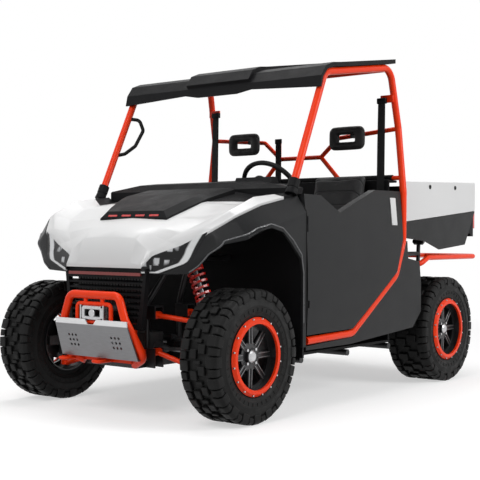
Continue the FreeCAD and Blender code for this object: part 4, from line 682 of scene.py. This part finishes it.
bm = bmesh.new()
for way in (-1, 1):
    across_place = (0, fairlead_face, winch_height + way * roller_rise)
    upright_place = (way * roller_half, fairlead_face, winch_height)
    add_rod(bm, roller_radius, roller_half * 2, "X", across_place, 20)
    add_rod(bm, roller_radius, roller_rise * 2, "Z", upright_place, 20)
    add_block(bm, *around((way * cheek_place[0], cheek_place[1], winch_height), cheek_half))
add_rod(bm, hook_radius, hook_length, "Y", hook_place, 24)
ease_edges(bm, fairlead_bevel, 1)
piece = finish_piece(bm, "fairlead_rollers", bright_alloy, "chassis")

# Dashboard, steering wheel and grab handle: moulded black plastic and rubber grips, with
# one round gauge screwed to the dashboard in front of the driver.
dash_round = 0.008
clamp_round = 0.003
gauge_view = (Vector((0.380, 0.0, 1.42)), Vector((0, -0.55, -0.20)))
gauge_radius = 0.052
gauge_rim = 0.008
gauge_taper = 0.004
gauge_foot = -0.010
gauge_rise = 0.012
glass_rise = 0.0125
gauge_bevel = 0.0015

rounded("dashboard", black_plastic, dash_round)
rounded("seat_bases", black_plastic, dash_round)
rounded("pillar_clamps", black_plastic, clamp_round)
dress(rubber, "steering_wheel", "grab_handle")

gauge_face, surface = new_finish("gauge_face", Roughness=0.15, Coat_Weight=0.8, Coat_Roughness=0.05)
feed(gauge_face.noise(40.0, 2.0).tint((0.010, 0.012, 0.015), (0.018, 0.021, 0.026)), surface, "Base Color")

panel = bmesh.new()
panel.from_mesh(frame["nodes"]["dashboard"].data)
gauge_place, gauge_normal = BVHTree.FromBMesh(panel).ray_cast(*gauge_view)[:2]
panel.free()
gauge_turn = gauge_normal.to_track_quat("Z", "Y").to_matrix()
for name, finish, radius, low, high, slot in (
        ("gauge_bezel", black_plastic, gauge_radius, gauge_foot, gauge_rise, "black"),
        ("gauge_glass", gauge_face, gauge_radius - gauge_rim, 0.0, glass_rise, "lamp")):
    bm = bmesh.new()
    bmesh.ops.create_cone(bm, cap_ends=True, segments=40, radius1=radius, radius2=radius - gauge_taper,
                          depth=high - low)
    ease_edges(bm, gauge_bevel, 2)
    bmesh.ops.translate(bm, verts=bm.verts, vec=(0, 0, (low + high) / 2))
    bmesh.ops.rotate(bm, verts=bm.verts, cent=(0, 0, 0), matrix=gauge_turn)
    bmesh.ops.translate(bm, verts=bm.verts, vec=gauge_place)
    piece = finish_piece(bm, name, finish, "chassis")

# Cage and roof: bent steel tube under orange-red powder coat, with rubber boots over the
# clamps at the front pillars' feet and a black sleeve on the cross bar behind the seats.
# The roof is a ribbed black panel screwed down on its rails.
roof_round = 0.006
pillar_foot = Vector((0.712, -0.712, 1.166))
pillar_head = Vector((0.707, -0.395, 1.838))
boot_shares = (-0.020, 0.032)
boot_radii = (0.034, 0.029)
sleeve_half = 0.690
sleeve_place = (0, 0.389, 1.290)
sleeve_radius = 0.0195
cage_bevel = 0.003

rounded("roof", black_plastic, roof_round)

bm = bmesh.new()
low, high = [pillar_foot.lerp(pillar_head, share) for share in boot_shares]
along = high - low
for side in (1, -1):
    made = bmesh.ops.create_cone(bm, cap_ends=True, segments=28, radius1=boot_radii[0],
                                 radius2=boot_radii[1], depth=along.length)["verts"]
    bmesh.ops.rotate(bm, verts=made, cent=(0, 0, 0), matrix=along.to_track_quat("Z", "Y").to_matrix())
    bmesh.ops.translate(bm, verts=made, vec=(low + high) / 2)
    bmesh.ops.scale(bm, verts=made, vec=(side, 1, 1))
ease_edges(bm, cage_bevel, 2)
piece = finish_piece(bm, "pillar_boots", black_plastic, "chassis")

bm = bmesh.new()
add_rod(bm, sleeve_radius, sleeve_half * 2, "X", sleeve_place, 32)
ease_edges(bm, cage_bevel, 2)
piece = finish_piece(bm, "cage_bar_sleeve", black_plastic, "chassis")

# Bed: a black moulded tub with white sides over dark trim, and a black tailgate. Rubber
# plugs close the rope holes in the sides.
bed_round = 0.004
rope_holes = ((0.754, 1.248), (1.103, 1.255))
rope_hole_face = 0.7485
plug_form = (0.0150, 0.0125, 0.005, 24)

rounded("cargo_bed", black_plastic, bed_round)
rounded("tailgate", black_plastic, bed_round)

bm = bmesh.new()
for y, z in rope_holes:
    bm.from_mesh(stud(plug_form, (rope_hole_face, y, z)))
bmesh.ops.mirror(bm, geom=bm.verts[:] + bm.edges[:] + bm.faces[:], merge_dist=0.0, axis="X")
piece = finish_piece(bm, "bed_rope_plugs", black_plastic, body_of["bed_side_panels"])

# Seats: coated fabric over foam, on black moulded bases. Cushion and back are separate pads,
# crowned by their filling, with sewn channels across them.
seat_middle = 0.405
cushion_half = 0.207
cushion_outline = [(-0.292, 0.648), (0.070, 0.648), (0.070, 0.745), (-0.292, 0.757)]
cushion_round = 0.022
back_half = 0.205
back_outline = [(0.063, 0.655), (0.142, 0.655), (0.275, 1.312), (0.222, 1.312)]
back_round = 0.020
shoulder_start = 1.04
shoulder_rise = 0.28
shoulder_taper = 0.022
channel_lean = 0.55
channel_pitch = 95.0
pad_voxel = 0.010
pad_pressure = 4.0
pad_cap = 0.016
pad_frames = 20

seat_cloth, surface = new_finish("seat_cloth", Specular_IOR_Level=0.35, Sheen_Weight=0.15)
feed(seat_cloth.noise(7.0, 4.0).tint((0.008, 0.008, 0.009), (0.016, 0.016, 0.017)), surface, "Base Color")
feed(seat_cloth.noise(20.0, 3.0).spread(0.3, 0.7, 0.55, 0.72), surface, "Roughness")
rows = seat_cloth.maths("SINE", (seat_cloth.along(2) * channel_lean + seat_cloth.along(1)) * channel_pitch)
channel = rows.spread(-1.0, -0.86, 1.0, 0.0)
feed((seat_cloth.grain(700.0) * 0.10 - channel).bump(0.003), surface, "Normal")


def swell(piece):
    """Fills a pad with the cloth solver, and holds every point near where it started."""
    start = [vertex.co.copy() for vertex in piece.data.vertices]
    cloth = piece.modifiers.new("filling", "CLOTH")
    cloth.settings.use_pressure = True
    cloth.settings.uniform_pressure_force = pad_pressure
    cloth.settings.effector_weights.gravity = 0.0
    cloth.settings.quality = 5
    cloth.point_cache.frame_start = 1
    cloth.point_cache.frame_end = pad_frames
    scene = bpy.context.scene
    for number in range(1, pad_frames + 1):
        scene.frame_set(number)
    shaped = piece.evaluated_get(bpy.context.evaluated_depsgraph_get()).to_mesh()
    moved = [vertex.co.copy() for vertex in shaped.vertices]
    piece.modifiers.remove(cloth)
    scene.frame_set(1)
    for vertex, old, new in zip(piece.data.vertices, start, moved):
        step = new - old
        vertex.co = old + step * min(1.0, pad_cap / max(step.length, 1e-9))


def pad(name, bm):
    """A stuffed pad from a bevelled block that is a little smaller than the pad."""
    bmesh.ops.recalc_face_normals(bm, faces=bm.faces)
    mesh = bpy.data.meshes.new(name)
    bm.to_mesh(mesh)
    bm.free()
    mesh.materials.append(seat_cloth.material)
    piece = bpy.data.objects.new(name, mesh)
    bpy.context.scene.collection.objects.link(piece)
    remesh = piece.modifiers.new("voxels", "REMESH")
    remesh.mode = "VOXEL"
    remesh.voxel_size = pad_voxel
    shaped = bpy.data.meshes.new_from_object(piece.evaluated_get(bpy.context.evaluated_depsgraph_get()))
    piece.modifiers.clear()
    piece.data = shaped
    swell(piece)
    for polygon in piece.data.polygons:
        polygon.use_smooth = True
    round_over = piece.modifiers.new("round", "SUBSURF")
    round_over.levels = 1
    round_over.render_levels = 1
    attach(piece, "chassis")
    return piece


for word, side in (("left", 1), ("right", -1)):
    middle = side * seat_middle
    cushion, back = [side_block(outline, middle - side * half, middle + side * half, bevel)
                     for outline, half, bevel in ((cushion_outline, cushion_half, cushion_round),
                                                  (back_outline, back_half, back_round))]
    for vertex in back.verts:
        share = min(max(0.0, (vertex.co.z - shoulder_start) / shoulder_rise), 1.0)
        vertex.co.x -= math.copysign(share * shoulder_taper, vertex.co.x - middle)
    piece = pad("seat_cushion_" + word, cushion)
    if side > 0:
        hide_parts("seats")
    pad("seat_back_" + word, back)

# Headrests: firm foam rings in the same fabric, open in the middle, on black stalks that a
# clamp holds to the cage's bar behind them.
headrest_place = Vector((0.405, 0.316, 1.542))
headrest_half = (0.131, 0.0760)
headrest_corner = 0.042
headrest_depth = 0.0253
window_half = (0.046, 0.014)
window_corner = (0.010, 0.006)
corner_steps = 5
ring_sides = 8
stalk_radius = 0.010
stalk_height = 1.584
stalk_ends = (0.318, 0.398)
clamp_half = (0.017, 0.017, 0.024)
clamp_place = (0.395, 1.573)
stalk_bevel = 0.003


def headrest(middle):
    """A ring round an open window: rounded sections that follow it round, joined in turn."""
    bm = bmesh.new()
    sections = []
    for corner_x, corner_z, start in ((1, 1, 0), (-1, 1, 90), (-1, -1, 180), (1, -1, 270)):
        for step in range(corner_steps):
            turn = math.radians(start + step * 90 / (corner_steps - 1))
            way = (math.cos(turn), math.sin(turn))
            outer = Vector(((headrest_half[0] - headrest_corner) * corner_x + headrest_corner * way[0], 0,
                            (headrest_half[1] - headrest_corner) * corner_z + headrest_corner * way[1]))
            inner = Vector((window_half[0] * corner_x + window_corner[0] * way[0], 0,
                            window_half[1] * corner_z + window_corner[1] * way[1]))
            across = (outer - inner) / 2
            deep = Vector((0, headrest_depth, 0))
            form = Matrix((across, deep, across.cross(deep))).transposed().to_4x4()
            form.translation = middle + (outer + inner) / 2
            made = bmesh.ops.create_circle(bm, segments=ring_sides, radius=1.0, matrix=form)["verts"]
            sections.append({edge for vertex in made for edge in vertex.link_edges})
    for section, following in zip(sections, sections[1:] + sections[:1]):
        bmesh.ops.bridge_loops(bm, edges=list(section | following))
    return bm


stalks = bmesh.new()
for word, side in (("left", 1), ("right", -1)):
    x = side * headrest_place.x
    middle = Vector((x, headrest_place.y, headrest_place.z))
    ring = finish_piece(headrest(middle), "headrest_pad_" + word, seat_cloth, "chassis", 60.0)
    round_over = ring.modifiers.new("round", "SUBSURF")
    round_over.levels = 2
    round_over.render_levels = 2
    if side > 0:
        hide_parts("headrests")
    near, far = stalk_ends
    add_rod(stalks, stalk_radius, far - near, "Y", (x, (near + far) / 2, stalk_height), 20)
    add_block(stalks, *around((x, *clamp_place), clamp_half))
ease_edges(stalks, stalk_bevel, 2)
piece = finish_piece(stalks, "headrest_stalks", black_metal, "chassis")

# Seat belts: black webbing woven along its length, from a bracket on the cage down to the
# reel behind each seat, with a buckle on a stalk beside it and a third belt between them.
# Lines run along Y and up Z, and blocks are given by their lowest and highest corners.
belt_middle = 0.652
centre_belt = -0.160
belt_width = 0.046
belt_thick = 0.0016
belt_back = ((0.3110, 0.790), (0.3110, 1.235), (0.3147, 1.500), (0.3185, 1.752))
belt_front = ((0.2700, 0.790), (0.2800, 0.900), (0.2990, 1.180), (0.3045, 1.500), (0.3125, 1.752))
centre_line = ((0.3110, 0.790), (0.3110, 1.050), (0.3600, 1.235), (0.3690, 1.290), (0.3690, 1.560))
top_bracket = ((0.634, 0.329, 1.744), (0.722, 0.343, 1.790))
top_guide = ((0.622, 0.305, 1.738), (0.682, 0.330, 1.772))
tongue = ((0.628, 0.296, 1.150), (0.676, 0.302, 1.215))
reel = ((0.627, 0.259, 0.750), (0.677, 0.318, 0.796))
buckle_stalk = ((0.178, -0.134, 0.470), (0.196, -0.116, 0.712))
buckle = ((0.170, -0.150, 0.706), (0.204, -0.100, 0.806))
buckle_button = ((0.177, -0.143, 0.800), (0.197, -0.107, 0.8095))
centre_post = ((-0.174, 0.3725, 1.430), (-0.146, 0.3865, 1.572))
centre_guide = ((-0.186, 0.362, 1.540), (-0.134, 0.3745, 1.572))
centre_buckle = ((-0.178, 0.352, 1.262), (-0.142, 0.3665, 1.325))
centre_reel = ((-0.185, 0.275, 0.750), (-0.135, 0.318, 0.796))
centre_button = ((-0.172, 0.348, 1.268), (-0.148, 0.353, 1.286))
bracket_bevel = 0.003
fitting_bevel = 0.004
button_bevel = 0.002

webbing, surface = new_finish("webbing", Roughness=0.75, Specular_IOR_Level=0.3)
long_threads = webbing.maths("SINE", webbing.along(0) * 3600.0)
threads = webbing.maths("SINE", webbing.along(2) * 2600.0) * long_threads
feed(threads.spread(-1.0, 1.0).tint((0.006, 0.006, 0.007), (0.014, 0.014, 0.015)), surface, "Base Color")
feed(threads.bump(0.0006), surface, "Normal")


def add_strap(bm, line, middle):
    """Adds flat webbing along a line of (y, z) places, its width across X."""
    behind, before = [], []
    for number, place in enumerate(line):
        run = Vector(line[min(number + 1, len(line) - 1)]) - Vector(line[max(number - 1, 0)])
        out = Vector((-run.y, run.x)).normalized() * belt_thick / 2
        behind.append(Vector(place) - out)
        before.append(Vector(place) + out)
    edge = middle - belt_width / 2
    draw_out(bm, [(edge, *place) for place in behind + before[::-1]], (belt_width, 0, 0))


def belt_blocks(name, finish, bevel, paired, single):
    """Fittings of the belts: those that both sides have, and those of the middle belt."""
    bm = bmesh.new()
    for low, high in paired:
        add_block(bm, low, high)
        add_block(bm, (-high[0], *low[1:]), (-low[0], *high[1:]))
    for low, high in single:
        add_block(bm, low, high)
    ease_edges(bm, bevel, 2)
    piece = finish_piece(bm, name, finish, "chassis")


straps = bmesh.new()
for side in (1, -1):
    add_strap(straps, belt_back, side * belt_middle)
    add_strap(straps, belt_front, side * belt_middle)
add_strap(straps, centre_line, centre_belt)
piece = finish_piece(straps, "belt_straps", webbing, "chassis")
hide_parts("seat_belts")
belt_blocks("belt_brackets", orange_coat, bracket_bevel, (top_bracket, ), (centre_post, ))
belt_blocks("belt_fittings", black_plastic, fitting_bevel,
            (top_guide, tongue, reel, buckle_stalk, buckle), (centre_guide, centre_buckle, centre_reel))
belt_blocks("belt_buttons", lamp_red, button_bevel, (buckle_button, ), (centre_button, ))

# Stage: a plain white floor that keeps the soft shadow near the vehicle and runs out into
# the white of the backdrop, under three large softboxes.
floor_size = 60.0
floor_colour = 0.60
floor_glow = 0.52
stage_near = 2.6
stage_far = 6.0
world_light = 0.32
lights = (("key_light", (1.0, -5.5, 5.0), (0.0, -0.3, 0.7), 3.0, 150.0),
          ("top_light", (-1.0, 0.5, 6.0), (0.0, 0.0, 0.8), 4.0, 170.0),
          ("side_light", (6.0, 1.5, 3.4), (0.0, 0.2, 0.8), 2.5, 190.0))


def straight_rays(wire):
    """1 for the rays that show the backdrop: from the camera, mirrored or through glass."""
    kinds = ("Is Camera Ray", "Is Glossy Ray", "Is Transmission Ray")
    seen, mirrored, through = [wire.node("ShaderNodeLightPath", {}, {}, kind) for kind in kinds]
    return seen + mirrored + through


bm = bmesh.new()
bmesh.ops.create_grid(bm, x_segments=1, y_segments=1, size=floor_size / 2)
floor_mesh = bpy.data.meshes.new("floor")
bm.to_mesh(floor_mesh)
bm.free()
floor = bpy.data.objects.new("floor", floor_mesh)
bpy.context.scene.collection.objects.link(floor)
floor_finish, surface = new_finish("floor_white", Roughness=0.9, Specular_IOR_Level=0.0)
place = floor_finish.place()
away = floor_finish.node("ShaderNodeVectorMath", {"operation": "LENGTH"}, {0: place}, "Value")
away = away.spread(stage_near, stage_far)
feed(away.tint((floor_colour, ) * 3, (0.0, 0.0, 0.0)), surface, "Base Color")
feed(away.tint((floor_glow, ) * 3, (1.0, 1.0, 1.0)), surface, "Emission Color")
feed(straight_rays(floor_finish), surface, "Emission Strength")
floor_mesh.materials.append(floor_finish.material)

world = bpy.data.worlds.new("studio")
world.use_nodes = True
bpy.context.scene.world = world
sky = Wire(world)
backdrop = world.node_tree.nodes["Background"]
seen = sky.maths("MINIMUM", straight_rays(sky), 1.0)
backdrop.inputs["Color"].default_value = (1.0, 1.0, 1.0, 1.0)
world.node_tree.links.new((seen * (1.0 - world_light) + world_light).socket, backdrop.inputs["Strength"])

for name, place, aim, size, power in lights:
    data = bpy.data.lights.new(name, "AREA")
    data.shape = "SQUARE"
    data.size = size
    data.energy = power
    lamp = bpy.data.objects.new(name, data)
    lamp.location = place
    lamp.rotation_euler = (Vector(aim) - Vector(place)).to_track_quat("-Z", "Y").to_euler()
    bpy.context.scene.collection.objects.link(lamp)
